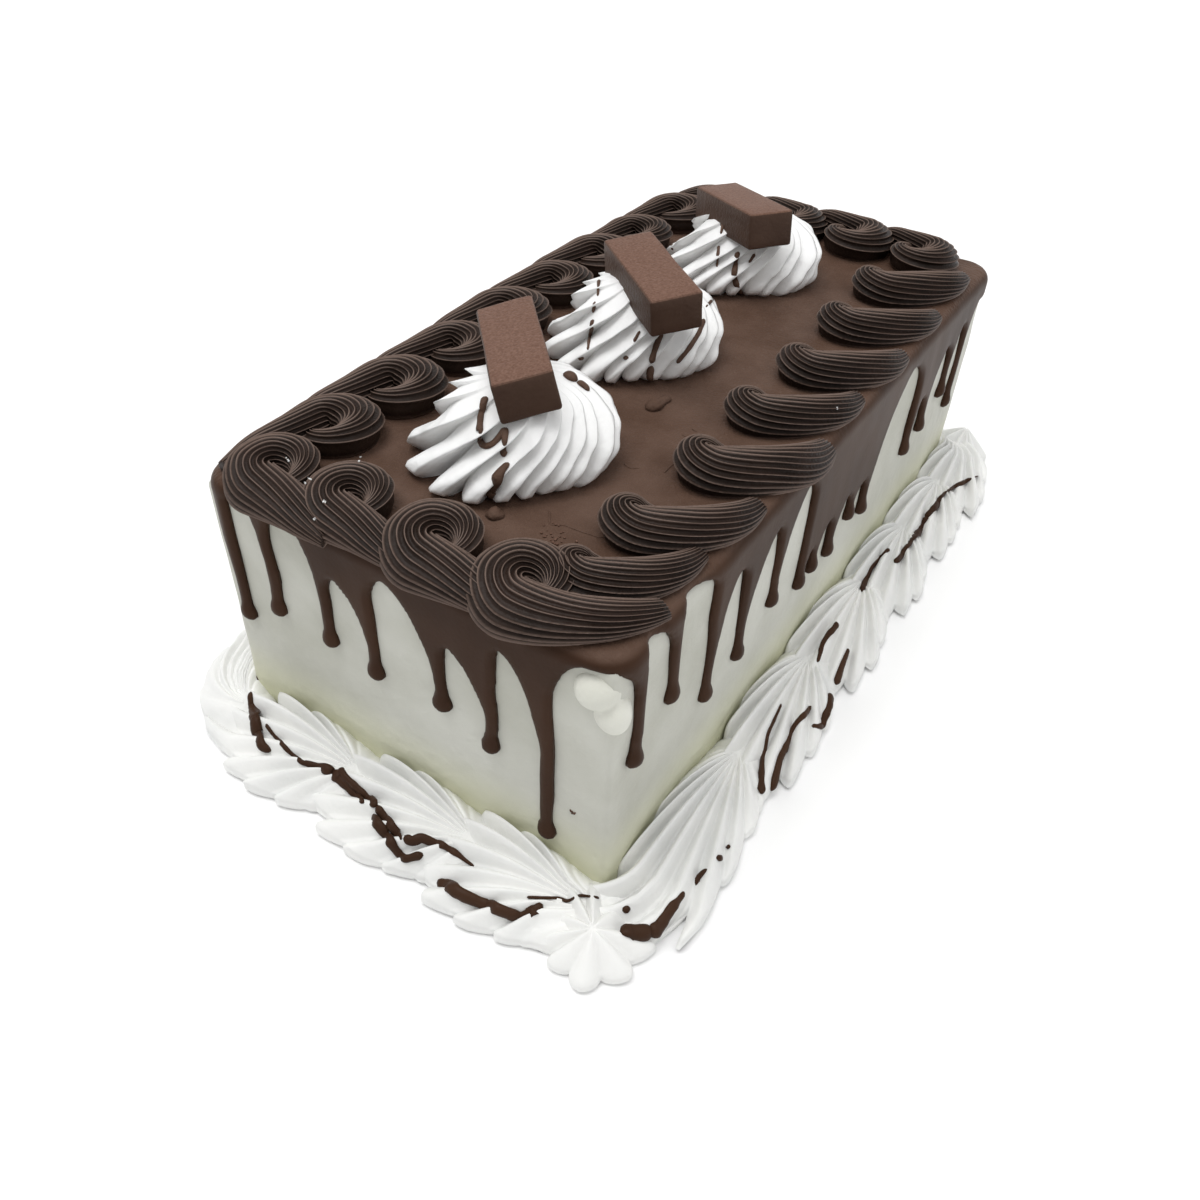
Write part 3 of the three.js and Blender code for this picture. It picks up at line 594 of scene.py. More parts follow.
LONG_SCROLL = {
    "arm": 9,
    "curl": [
        (90, 1.5, 7.0, 0.5, 0.3), (130, 3.0, 8.4, 0.5, 0.4), (180, 5.6, 9.8, 0.4, 0.2),
        (225, 6.9, 10.4, 0.3, -0.05), (270, 7.2, 10.4, 0.3, -0.2),
    ],
    "tail": [(0.3, 7.0, 10.2, -0.2), (0.65, 6.0, 8.6, 0), (1, 3.4, 4.4, 0)],
    "drift": 0,
    "length": 36,
}


def between(rows, at):
    """Values between the rows of a table, along smooth curves through them."""
    for i, (low, high) in enumerate(zip(rows, rows[1:])):
        if at > high[0]:
            continue
        before = rows[max(i - 1, 0)]
        after = rows[min(i + 2, len(rows) - 1)]
        span = high[0] - low[0]
        share = max(0, (at - low[0]) / span)
        values = []
        for k in range(1, len(low)):
            leaving = (high[k] - before[k]) / (high[0] - before[0]) * span
            arriving = (after[k] - low[k]) / (after[0] - low[0]) * span
            straight = mix(low[k], high[k], share)
            bow = share * (1 - share)
            rise = high[k] - low[k]
            values.append(straight + bow * ((1 - share) * (leaving - rise) - share * (arriving - rise)))
        return values
    return rows[-1][1:]


def scroll_stations(kind, bend, length):
    """Places, ways, half widths, heights, pits and leans along a scroll with its pit at the origin."""
    stations = []
    curl = kind["curl"]
    first, last = curl[0][0], curl[-1][0]
    if kind["arm"]:
        half, height, pit, lean = curl[0][1:]
        for i in range(ARM_STEPS):
            share = i / ARM_STEPS
            shrink = mix(0.5, 1, share)
            middle = Vector((kind["arm"] * (1 - share), (pit + half) * mix(0.8, 1, share)))
            stations.append((middle, Vector((-1, 0)), half * shrink, height * shrink, pit, lean))
    steps = round((last - first) / CURL_STEP)
    for i in range(steps + 1):
        angle = mix(first, last, i / steps)
        half, height, pit, lean = between(curl, angle)
        turn = math.radians(angle)
        out = Vector((math.cos(turn), math.sin(turn)))
        stations.append((out * (pit + half), Vector((-out.y, out.x)), half, height, pit, lean))
    tail = [(0, curl[-1][1], curl[-1][2], curl[-1][4]), *kind["tail"]]
    for i in range(1, TAIL_STEPS + 1):
        share = i / TAIL_STEPS
        half, height, lean = between(tail, share)
        turned = math.radians(bend) * share
        gone = length * share
        middle = Vector((gone * math.cos(turned / 2), gone * math.sin(turned / 2) - pit - curl[-1][1]))
        middle.y -= kind["drift"] * share * share
        way = Vector((math.cos(turned), math.sin(turned)))
        stations.append((middle, way, half, height, mix(pit, TAIL_PIT, share), lean))
    for _ in range(EASING):
        eased = [stations[0]]
        for before, here, after in zip(stations, stations[1:], stations[2:]):
            eased.append([0.25 * a + 0.5 * b + 0.25 * c for a, b, c in zip(before, here, after)])
        stations = [*eased, stations[-1]]
    return stations


def flute_reach(share):
    """How far out the rope's skin lies there: 1 on a thin ridge, less in the broad flutes between."""
    across = abs(2 * ((share * FLUTES) % 1) - 1)
    return 1 - FLUTE_DEPTH * (1 - across**3.2)


EDGE_FLAT = [half + SHEET - SUNK - GLAZE_EDGE for half in (HALF_WIDTH, HALF_LENGTH)]


def rope_rings(stations, turn, centre, size, seed):
    """The rope's rings of points, and how near each point is to the crest of a ridge."""
    rings = []
    crests = []
    count = FLUTES * FLUTE_POINTS
    spin = Matrix.Rotation(turn, 2)
    for number, (middle, way, half, height, pit, lean) in enumerate(stations):
        ring = []
        crowding = mix(*RIDGE_CROWDING, (number / len(stations)) ** 2)
        for k in range(count + 1):
            share = k / count
            angle = mix(ROPE_FROM, ROPE_TO, share**crowding)
            reach = flute_reach(share)
            wave = ROPE_UNEVEN * noise.noise((share * 9, number / 9, seed))
            up = ROPE_MIDDLE + (1 - ROPE_MIDDLE) * math.sin(angle) * (reach + wave)
            side = half * (math.cos(angle) * (reach + wave) + lean * up)
            side = max(side, PIT_CLEAR * reach - half - pit)
            flat = spin @ (middle + Vector((way.y, -way.x)).normalized() * side) * size
            x, y = centre[0] + flat.x, centre[1] + flat.y
            beyond = max(abs(x) - EDGE_FLAT[0], abs(y) - EDGE_FLAT[1], 0)
            ring.append((x, y, SEAT + up * height * size - beyond * beyond / DROOP))
            crests.append((reach - 1 + FLUTE_DEPTH) / FLUTE_DEPTH)
        rings.append(ring)
    return rings, crests


def loft(name, rings, material, node, crests=()):
    """Joins rings of points and closes both ends. `crests` is kept as an attribute, one a point."""
    points = [point for ring in rings for point in ring]
    count = len(rings[0])
    faces = []
    for i in range(len(rings) - 1):
        first = i * count
        for k in range(count):
            after = (k + 1) % count
            faces.append((first + k, first + after, first + count + after, first + count + k))
    for i in (0, len(rings) - 1):
        middle = [sum(point[axis] for point in rings[i]) / count for axis in range(3)]
        points.append(middle)
        faces += [(i * count + k, i * count + (k + 1) % count, len(points) - 1) for k in range(count)]
    marks = [*crests, 0, 0] if crests else ()
    return piece_of(name, points, faces, material, node, False, marks)


# Kind, heading, how far the tail bends, the same with its length for the row's last, and where
# each one's pit is with its size.
SCROLL_ROWS = [
    (ROUND_SCROLL, 4, 0, (72, 38), [(-46, -132, 0.98), (-20, -130, 0.95), (11, -131.3, 1), (39.5, -132, 1)]),
    (LONG_SCROLL, 27, 72, (66, 36), [
        (47, -116, 0.9), (47.5, -90.5, 1), (50.5, -54.5, 1.08), (47.5, -20, 1), (48.5, 15, 1.02),
        (46.5, 52, 1.02), (44.5, 88, 1.05),
    ]),
    (ROUND_SCROLL, 168, 15, (60, 30), [(46, 121, 0.98), (18, 122, 1.03), (-10, 123, 0.97), (-38, 121, 1)]),
    (ROUND_SCROLL, 270, 0, (0, 30), [
        (-53, 100, 1), (-54, 70, 0.97), (-54, 42, 1.04), (-54, 12, 1), (-53.5, -18, 1.05),
        (-52, -48, 1), (-50.5, -79, 1.06), (-50.5, -107, 1),
    ]),
]
piping = Finish(
    "piped_chocolate", (0.017, 0.0098, 0.0068), (0.028, 0.0162, 0.0117), 90, 0.45, 0.16, 900, 0.0003
)
# The ridges' thin crests are painted paler: a painted highlight along each crest.
ridge = piping.nodes.new("ShaderNodeAttribute")
ridge.attribute_name = "crest"
edge = smooth_climb(piping.nodes, 0.5, 1)
piping.links.new(ridge.outputs["Fac"], edge.inputs["Value"])
piping.over(edge.outputs["Result"], (0.2, 0.14, 0.113))

number = 0
for row, (kind, heading, bend, last, pits) in enumerate(SCROLL_ROWS):
    for i, (x, y, size) in enumerate(pits):
        number += 1
        turn = math.radians(heading + HEADING_SPREAD * (scatter(10 * row + i) - 0.5))
        stations = scroll_stations(kind, *(last if i == len(pits) - 1 else (bend, kind["length"])))
        rings, crests = rope_rings(stations, turn, (x, y), size, number)
        node = f"piped_scroll_{number:02d}"
        loft(f"scroll_{number:02d}", rings, piping.material, node, crests)

# Cream rosettes: each is piped round and up in one go with a closed star nozzle, so that blades
# of cream stand round it, lean over and meet under the bar. On one side the blades are broad and
# splayed, on the other they crowd together and stand steep. Their edges are sharp.
# Place, radius, height and the way that the broad side faces, in degrees.
ROSETTES = [(-1, -82, 31.5, 27, 225), (-7, -7, 31, 27, 215), (-7, 72, 31, 26, 205)]
BLADE_EDGES = [-53, -19, 12, 37, 57, 74, 88, 104, 118, 136, 151, 168, 184, 204, 228, 256, 281]
BLADE_SHARES = [0, 0.03, 0.07, 0.11, 0.15, 0.23, 0.33, 0.45, 0.58, 0.71, 0.83, 0.93]
VALLEY = 0.15  # where the valley lies between two edges
ROSETTE_RINGS = 44
# The way up as a share of the height, and the blades' reach there as a share of the radius, on the
# broad side and on the steep one. After them the valleys' depth as a share of that reach.
BROAD_LEVELS = [
    (0, 0.9), (0.08, 1), (0.2, 0.97), (0.32, 0.88), (0.45, 0.78), (0.6, 0.7), (0.75, 0.6),
    (0.88, 0.42), (1, 0.14),
]
STEEP_LEVELS = [
    (0, 0.8), (0.08, 0.88), (0.25, 0.95), (0.42, 0.96), (0.6, 0.88), (0.75, 0.72), (0.88, 0.46),
    (1, 0.14),
]
BLADE_DEPTHS = [(0, 0.36), (0.3, 0.27), (0.6, 0.22), (1, 0.1)]
PINCH = 0.2  # how far the foot is drawn in on one side
PINCH_AT = 95
PINCH_WIDTH = 34
TWIST = 78  # degrees by which the blades lean round on the way up
TWIST_POWER = 1.7
ROSETTE_UNEVEN = 0.05


def rosette_point(rosette, round_it, level, reach):
    """A point of a rosette's skin. `round_it` is degrees past its broad side, at its foot."""
    x, y, radius, height, broad = rosette
    steep = 0.5 - 0.5 * math.cos(math.radians(round_it))
    off_pinch = ((round_it + 180) % 360 - 180 - PINCH_AT) / PINCH_WIDTH
    pinch = PINCH * math.exp(-(off_pinch**2)) * (1 - level)
    span = mix(between(BROAD_LEVELS, level)[0], between(STEEP_LEVELS, level)[0], steep) - pinch
    angle = math.radians(broad + round_it + TWIST * level**TWIST_POWER)
    uneven = ROSETTE_UNEVEN * noise.noise((x + 4 * math.cos(angle), 4 * math.sin(angle), 5 * level))
    out = radius * span * reach * (1 + uneven)
    return x + math.cos(angle) * out, y + math.sin(angle) * out, TOP + height * level


cream = Finish("whipped_cream", (0.9, 0.902, 0.892), (0.95, 0.95, 0.945), 40, 0.4, 0.35, 500, 0.0002)
cream.shader.inputs["Subsurface Weight"].default_value = 0.2
cream.shader.inputs["Subsurface Radius"].default_value = (1, 1, 1)
cream.shader.inputs["Subsurface Scale"].default_value = 0.002

for number, rosette in enumerate(ROSETTES, 1):
    edges = [edge + 6 * (scatter(edge + 60 * number) - 0.5) for edge in BLADE_EDGES]
    edges.append(edges[0] + 360)
    rings = []
    for step in range(ROSETTE_RINGS + 1):
        level = (step / ROSETTE_RINGS) ** 1.1
        ring = []
        blunt = mix(0.55, 1, min(1, level / 0.55))
        for blade, (edge, after) in enumerate(zip(edges, edges[1:])):
            strong = mix(0.6, 1.4, scatter(blade * 3 + number)) * min(1, (after - edge) / 22)
            for across in BLADE_SHARES:
                if across < VALLEY:
                    lift = 1 - (across / VALLEY) ** 0.75
                else:
                    hollow = mix(0.6, 1.2, min(1, level / 0.5))
                    lift = min(1, (across - VALLEY) / (blunt - VALLEY)) ** hollow
                reach = 1 - between(BLADE_DEPTHS, level)[0] * strong * (1 - lift)
                ring.append(rosette_point(rosette, mix(edge, after, across), level, reach))
        rings.append(ring)
    loft(f"rosette_{number}", rings, cream.material, f"cream_rosette_{number}")

# Chocolate bars: cut from a slab with a warm knife, one lying on each rosette. A cube is scaled,
# bevelled and made a little uneven.
BAR_SIZE = (17, 45, 12.3)
BAR_EDGE = 1.0
BAR_UNEVEN = 0.35
BAR_WORN = 0.15  # how far its faces have melted back
BAR_WAVE = (8, 12, 8)
# Where the lower edge of a bar's near end has its middle, and the bar's heading, rise and roll.
BARS = [
    (13.4, -93.9, 118.5, 133, 0.6, -12.7),
    (17.9, -24.4, 116, 141.5, 2.3, -5.2),
    (12.1, 52, 116.3, 143.6, -6.3, 0),
]
chocolate = Finish(
    "bar_chocolate", (0.064, 0.036, 0.025), (0.08, 0.046, 0.032), 60, 0.45, 0.12, 900, 0.0003
)
# Faces that look up are painted paler, with a fine grainy mottle: painted light on the bars' tops.
facing = chocolate.nodes.new("ShaderNodeNewGeometry")
axes = chocolate.nodes.new("ShaderNodeSeparateXYZ")
lit_from_above = smooth_climb(chocolate.nodes, 0.45, 0.9)
painted_top_light = chocolate.cloudy(1400, (0.125, 0.063, 0.042), (0.19, 0.106, 0.076))
chocolate.links.new(facing.outputs["True Normal"], axes.inputs["Vector"])
chocolate.links.new(axes.outputs["Z"], lit_from_above.inputs["Value"])
chocolate.over(lit_from_above.outputs["Result"], painted_top_light)
for number, (x, y, z, heading, rise, roll) in enumerate(BARS, 1):
    bpy.ops.object.select_all(action="DESELECT")
    bpy.ops.mesh.primitive_cube_add(size=1)
    bar = bpy.context.object
    bar.name = f"bar_{number}"
    bpy.ops.object.mode_set(mode="EDIT")
    bpy.ops.mesh.select_all(action="SELECT")
    bpy.ops.transform.resize(value=[side * MM for side in BAR_SIZE])
    bpy.ops.mesh.bevel(offset=BAR_EDGE * MM, segments=3)
    bpy.ops.mesh.subdivide(number_cuts=3)
    bpy.ops.object.mode_set(mode="OBJECT")
    lay = Matrix.Translation((x, y, z))
    lay @= Matrix.Rotation(math.radians(heading + 90), 4, "Z")
    lay @= Matrix.Rotation(math.radians(90 - rise), 4, "X")
    lay @= Matrix.Rotation(math.radians(roll), 4, "Z")
    lay @= Matrix.Translation((0, BAR_SIZE[2] / 2, BAR_SIZE[1] / 2))
    for corner in bar.data.vertices:
        spot = corner.co / MM
        waved = [at / wave for at, wave in zip(spot, BAR_WAVE)]
        waved[2] += 20 * number
        uneven = BAR_UNEVEN * noise.noise(waved) - BAR_WORN
        spot += spot.normalized() * uneven
        corner.co = lay @ Vector((spot.x, spot.z, spot.y)) * MM
    bpy.ops.object.shade_smooth_by_angle(angle=math.radians(40))
    skin = bmesh.new()
    skin.from_mesh(bar.data)
    bmesh.ops.recalc_face_normals(skin, faces=skin.faces)
    skin.to_mesh(bar.data)
    skin.free()
    bar.data.materials.append(chocolate.material)
    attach(bar, "root")
    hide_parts(f"chocolate_bar_{number}")

# Cream shells: piped one after the other round the loaf's foot with a star nozzle. The head of
# each is splayed into petals, and its ribs run together in a tail that goes under the next head.
# Rows of the ribs: the way from the tail in degrees, back along the wall at 0 and away from it at
# 90, how far the petal's tip is, and how high the rib stands there.
SHELL_RIBS = [
    (-160, 6, 6), (-100, 9.5, 8), (-55, 12, 11), (-32, 19, 14.5), (-20, 29, 17.5), (-12, 42, 18.5),
    (-3.5, 49.5, 17.5), (5.5, 51.5, 13), (15.5, 51, 9), (26.5, 46.5, 8), (38, 35, 7.5), (51, 24, 7),
    (75, 13.5, 6), (120, 8, 6),
]
PETALS = (-22, 62)  # only ribs between these stand apart from each other
TAIL_HEIGHT = 9
TAIL_OUT = 9
SHELL_SPAN = 50  # from the tail to the back of the head in that table
SHELL_REACH = 30  # how far off the wall its petals reach
SHELL_SUNK = 1.2  # how far a shell is pressed into the wall
RIB_POINTS = 8
RIB_STEPS = 20
PETAL_FOOT = 1.1  # height of a petal's lower edge
FULL_RIB = 30  # shorter ribs swell less
# Where each shell starts along its wall, and its length.
SHELL_ROWS = [
    [(-7, 54), (36, 56), (81, 47)],
    [(-16, 74), (47, 64), (99, 62), (149, 55), (192, 52), (233, 44)],
    [(-5, 56), (39, 55), (82, 47)],
    [(-8, 54), (34, 52), (74, 52), (114, 52), (154, 52), (194, 51), (232, 42)],
]


def petal_rings(ribs, petals, peak, bulge, notch, crease, seed):
    """Rings from a middle out over the ribs to their rounded tips, and in under them."""
    ribs = [*ribs, (ribs[0][0] + 360, *ribs[0][1:])]
    rings = []
    for step in range(RIB_STEPS + 2):
        share = min(1, (step + 1) / RIB_STEPS)
        under = step == RIB_STEPS + 1
        out = math.sin(math.pi / 2 * share) ** 0.9
        drop = math.cos(math.pi / 2 * share) ** 0.32
        ring = []
        for i, (rib, after) in enumerate(zip(ribs, ribs[1:])):
            for k in range(RIB_POINTS):
                across = k / RIB_POINTS
                angle, length, tip = [mix(a, b, across) for a, b in zip(rib, after)]
                valley = (1 - abs(2 * across - 1)) ** 1.5 * (1 if petals[0] < angle < petals[1] else 0.25)
                wander = 1 + 0.1 * noise.noise((i + across, 2.7 * seed, 0.3))
                wander += 0.05 * noise.noise((3 * i, 5.1 * seed, 9))
                far = length * wander * (1 - notch * valley * out * out) * (0.95 if under else out)
                swell = bulge * math.sin(math.pi * min(1, out * 1.08))
                top = mix(peak, tip, out) + swell * min(1, length / FULL_RIB)
                top *= 1 - crease * valley * min(1, 1.4 * out)
                z = 0 if under else PETAL_FOOT + (top - PETAL_FOOT) * (drop if share < 1 else 0)
                ring.append((math.radians(angle), far, z))
        rings.append(ring)
    return rings


# The same whipped cream as the rosettes, painted darker: painted shade on the shells and stars round the
# loaf's foot.
shaded_foot_cream = Finish(
    "whipped_cream_shaded_at_foot", (0.76, 0.765, 0.75), (0.85, 0.85, 0.83), 40, 0.45, 0.3, 500, 0.0002
)
number = 0
cream_pieces = []
for side, row in enumerate(SHELL_ROWS):
    half = (HALF_LENGTH, HALF_WIDTH)[side % 2]
    room = cad_box[1][1 - side % 2] / MM - half - 0.2
    for i, (start, length) in enumerate(row):
        number += 1
        rings = []
        fan = petal_rings(SHELL_RIBS, PETALS, TAIL_HEIGHT, bulge=4, notch=0.13, crease=0.42, seed=number)
        for ring in fan:
            spots = []
            for angle, far, z in ring:
                back = far * math.cos(angle) * length / SHELL_SPAN
                out = TAIL_OUT + far * math.sin(angle)
                out = max(-SHELL_SUNK, min(out * room / SHELL_REACH, room))
                spots.append(at_wall(start + length - back + WALL_STARTS[side], out, z))
            rings.append(spots)
        name = f"shell_{number:02d}"
        cream_pieces.append(loft(name, rings, shaded_foot_cream.material, f"cream_shell_{number:02d}"))

# Cream stars: three of the corners have a blob let go with the same nozzle, splayed all round.
STAR_RIBS = [
    (37, 17.5, 5), (82, 14, 9), (124, 17, 14.5), (148, 17, 14), (178, 15, 9), (206, 17, 4.5), (231, 13, 4.5),
    (287, 12, 4.5), (354, 13.5, 5),
]
# Place, height and turn of each.
STARS = [(76, -155, 13.5, 0), (77, 152, 16, 90), (-76, 154, 13.5, 180)]
STAR_CLEAR = 0.3  # how far its petals stay inside the cake's own box


def inside_box(at, axis):
    most = cad_box[1][axis] / MM - STAR_CLEAR
    return max(-most, min(at, most))


for number, (x, y, peak, turn) in enumerate(STARS, 1):
    rings = []
    fan = petal_rings(STAR_RIBS, (0, 400), peak, bulge=0.5, notch=0.3, crease=0.38, seed=40 + number)
    for ring in fan:
        spots = []
        for angle, far, z in ring:
            angle += math.radians(turn)
            spot_x = inside_box(x + math.cos(angle) * far, 0)
            spot_y = inside_box(y + math.sin(angle) * far, 1)
            spots.append((spot_x, spot_y, z))
        rings.append(spots)
    name = f"star_{number}"
    cream_pieces.append(loft(name, rings, shaded_foot_cream.material, f"cream_star_{number}"))

# Drizzle: thin strands and drops of the glaze's chocolate, let run over the cream and the top. Each
# is a flattened tube laid on what it fell on, along places marked in the photo (1200 to a side).
EYE = Vector((155.596, -288.825, 263.398)) * MM
RIGHT = Vector((0.82955126, 0.55815302, 0.01760444))
UPWARD = Vector((-0.37305031, 0.53043393, 0.76123144))
BACKWARD = Vector((0.41554564, -0.63804784, 0.64824129))
LENS = 31.475
SENSOR = 36
SHIFT = (0.0193, -0.0060)
PHOTO_SIDE = 1200
STRAND_SIDES = 10
STRAND_STEP = 1.5  # between its places in the photo
STRAND_EASING = 6
STRAND_UNEVEN = 0.25
STRAND_TIP = 1.2  # length of its round ends, in half widths
STRAND_LIFT = 0.3  # how high its middle lies, in half widths
STRAND_THICK = 0.65  # half its thickness, in half widths
SPOT_LENGTH = 3  # how far a single drop reaches to each side in the photo, in half widths
# Half widths at both ends of a strand in millimetres, and its way in the photo.
FOOT_DRIZZLE = [
    (1.3, 1.1, [(262, 668), (258, 680)]),
    (1.0, 2.4, [(251, 692), (252, 705), (257, 721)]),
    (2.4, 1.4, [(256, 716), (259, 733), (262, 745), (271, 751)]),
    (0.7, 0.9, [(266, 724), (275, 736), (289, 751), (303, 763), (318, 765)]),
    (0.9, 2.0, [(303, 762), (318, 766), (335, 772)]),
    (2.0, 0.8, [(332, 771), (347, 785), (364, 803)]),
    (1.3, 1.5, [(340, 769), (347, 778), (363, 792), (377, 806)]),
    (1.4, 1.6, [(377, 806), (393, 827), (402, 837)]),
    (1.9, 1.2, [(373, 818), (384, 830), (395, 848), (405, 859), (423, 854)]),
    (1.8, 0.5, [(404, 837), (413, 841), (421, 837), (443, 845), (459, 855), (474, 866)]),
    (2.1, 1.7, [(438, 881), (465, 895), (497, 908), (520, 916), (535, 911), (541, 903)]),
    (0.5, 0.4, [(527, 897), (560, 898), (567, 902), (580, 895), (599, 898)]),
    (2.0, 2.7, [(621, 933), (636, 932), (652, 932)]),
    (2.6, 0.8, [(648, 934), (657, 927), (666, 914), (676, 902), (684, 892)]),
    (1.7, 0.5, [(695, 884), (700, 877), (707, 869)]),
    (0.9, 0.9, [(719, 858)]),
    (0.8, 0.8, [(728, 847)]),
    (1.3, 1.3, [(626, 909)]),
    (1.2, 0.6, [(761, 794), (763, 758), (767, 734), (781, 704)]),
    (1.7, 0.8, [(771, 790), (779, 758), (795, 726), (811, 706)]),
    (0.8, 1.7, [(812, 726), (822, 727), (829, 706), (829, 696)]),
    (0.7, 1.3, [(817, 662), (823, 643), (837, 623)]),
    (1.6, 0.9, [(835, 684), (841, 666), (848, 649)]),
    (1.2, 0.8, [(861, 591), (871, 567), (889, 549)]),
    (1.1, 1.6, [(895, 563), (913, 540), (928, 517)]),
    (1.5, 0.9, [(926, 519), (944, 494), (960, 484), (978, 476)]),
]
CREAM_DRIZZLE = [
    (1.0, 1.0, [
        (486, 397), (482, 409), (480, 428), (481, 443), (485, 447), (491, 446), (498, 440), (506, 428),
    ]),
    (1.0, 1.1, [(506, 428), (505, 443), (504, 457)]),
    (0.9, 2.9, [(509, 463), (502, 471), (496, 482), (491, 496)]),
    (1.6, 1.8, [(563, 375), (570, 377), (577, 381)]),
    (1.2, 0.9, [(577, 382), (584, 386), (589, 391)]),
    (0.6, 0.5, [(599, 280), (598, 296)]),
    (0.7, 0.5, [(595, 302), (593, 313)]),
    (0.8, 0.5, [(593, 320), (590, 336), (588, 350)]),
    (0.8, 0.8, [(581, 358)]),
    (0.8, 0.8, [(626, 358)]),
    (0.5, 0.6, [(640, 331), (634, 342)]),
    (1.0, 1.0, [(662, 331), (656, 347), (651, 363)]),
    (1.1, 1.4, [(652, 366), (650, 375), (651, 383)]),
    (0.7, 0.8, [(704, 319), (699, 333), (688, 350), (677, 363)]),
    (0.6, 0.5, [(713, 299), (706, 307)]),
    (0.7, 0.7, [(672, 226), (671, 240), (673, 250)]),
    (0.8, 0.5, [(724, 222), (721, 234)]),
    (0.7, 0.5, [(719, 246), (717, 267)]),
    (0.9, 1.5, [(738, 252), (734, 276), (738, 288), (743, 294)]),
    (0.7, 0.5, [(755, 254), (749, 263)]),
]
TOP_DRIZZLE = [
    (2.6, 2.6, [(486, 515), (504, 517)]),
    (1.2, 3.0, [(670, 398), (660, 404), (648, 411)]),
    (0.25, 0.2, [
        (549, 510), (550, 518), (549, 525), (564, 525), (574, 529), (584, 533), (592, 535), (599, 538),
        (607, 537),
    ]),
    (0.25, 0.2, [
        (664, 473), (671, 466), (678, 461), (686, 458), (692, 451), (694, 444), (691, 439), (682, 435),
    ]),
    (0.3, 0.15, [(624, 463), (627, 467), (632, 469), (640, 468)]),
    (0.35, 0.2, [(692, 429), (697, 432)]),
]


def sight(px, py):
    """The way from the camera through a place in the photo."""
    across = (px / PHOTO_SIDE - 0.5 + SHIFT[0]) * SENSOR / LENS
    up = (0.5 - py / PHOTO_SIDE + SHIFT[1]) * SENSOR / LENS
    return (RIGHT * across + UPWARD * up - BACKWARD).normalized()


def surface_of(pieces):
    """One surface of several pieces, to find where a line of sight meets it."""
    corners = []
    faces = []
    for piece in pieces:
        first = len(corners)
        corners += [corner.co.copy() for corner in piece.data.vertices]
        faces += [[first + index for index in face.vertices] for face in piece.data.polygons]
    return BVHTree.FromPolygons(corners, faces)


def strand(surface, way, start_half, end_half, seed):
    """Points and faces of one flattened tube lying on the surface, in millimetres."""
    if len(way) == 1:
        px, py = way[0]
        way = [(px - SPOT_LENGTH * start_half, py), (px + SPOT_LENGTH * start_half, py)]
    spots = []
    for (ax, ay), (bx, by) in zip(way, way[1:]):
        steps = max(2, round(math.hypot(bx - ax, by - ay) / STRAND_STEP))
        for i in range(steps + (bx == way[-1][0] and by == way[-1][1])):
            toward = sight(mix(ax, bx, i / steps), mix(ay, by, i / steps))
            hit, normal, _, _ = surface.ray_cast(EYE, toward)
            if hit:
                spots.append((hit / MM, normal))
    if len(spots) < 2:
        return [], []
    for _ in range(STRAND_EASING):
        eased = [spots[0]]
        for before, here, after in zip(spots, spots[1:], spots[2:]):
            middle, normal = [a + 2 * b + c for a, b, c in zip(before, here, after)]
            eased.append((middle / 4, normal.normalized()))
        spots = [*eased, spots[-1]]
    gone = [0]
    for before, here in zip(spots, spots[1:]):
        gone.append(gone[-1] + (here[0] - before[0]).length)
    total = max(gone[-1], 0.01)
    points = []
    for i, (middle, normal) in enumerate(spots):
        half = mix(start_half, end_half, gone[i] / total)
        half *= 1 + STRAND_UNEVEN * noise.noise((gone[i] / 3, seed, 0))
        nearest_end = min(gone[i], total - gone[i])
        half *= math.sqrt(max(0.12, 1 - max(0, 1 - nearest_end / (STRAND_TIP * half)) ** 2))
        ahead = spots[min(i + 1, len(spots) - 1)][0] - spots[max(i - 1, 0)][0]
        side = ahead.cross(normal).normalized()
        for k in range(STRAND_SIDES):
            angle = 2 * math.pi * k / STRAND_SIDES
            lift = half * (STRAND_LIFT + STRAND_THICK * math.sin(angle))
            points.append(middle + side * half * math.cos(angle) + normal * lift)
    faces = []
    for i in range(len(spots) - 1):
        for k in range(STRAND_SIDES):
            after = (k + 1) % STRAND_SIDES
            first = i * STRAND_SIDES
            faces.append((first + k, first + after, first + STRAND_SIDES + after, first + STRAND_SIDES + k))
    faces.append(tuple(range(STRAND_SIDES)))
    faces.append(tuple(range(len(points) - 1, len(points) - 1 - STRAND_SIDES, -1)))
    return points, faces


def drizzle(name, pieces, ways, material, nodes):
    """One piece of all the strands that lie on some other pieces."""
    surface = surface_of(pieces)
    points = []
    faces = []
    for seed, (start_half, end_half, way) in enumerate(ways):
        more, more_faces = strand(surface, way, start_half, end_half, seed)
        faces += [[len(points) + index for index in face] for face in more_faces]
        points += more
    piece = piece_of(name, points, faces, material, nodes[0])
    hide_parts(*nodes)


shell_nodes = [f"cream_shell_{number:02d}" for number in range(1, 11)]
drizzle("foot_drizzle", cream_pieces, FOOT_DRIZZLE, glaze.material, [*shell_nodes, "cream_star_1"])
rosettes = [bpy.data.objects[f"rosette_{number}"] for number in (1, 2, 3)]
rosette_nodes = [f"cream_rosette_{number}" for number in (1, 2, 3)]
drizzle("rosette_drizzle", rosettes, CREAM_DRIZZLE, glaze.material, rosette_nodes)
top_sheet = [bpy.data.objects["poured_glaze"]]
drizzle("top_drops", top_sheet, TOP_DRIZZLE, glaze.material, ["chocolate_glaze"])

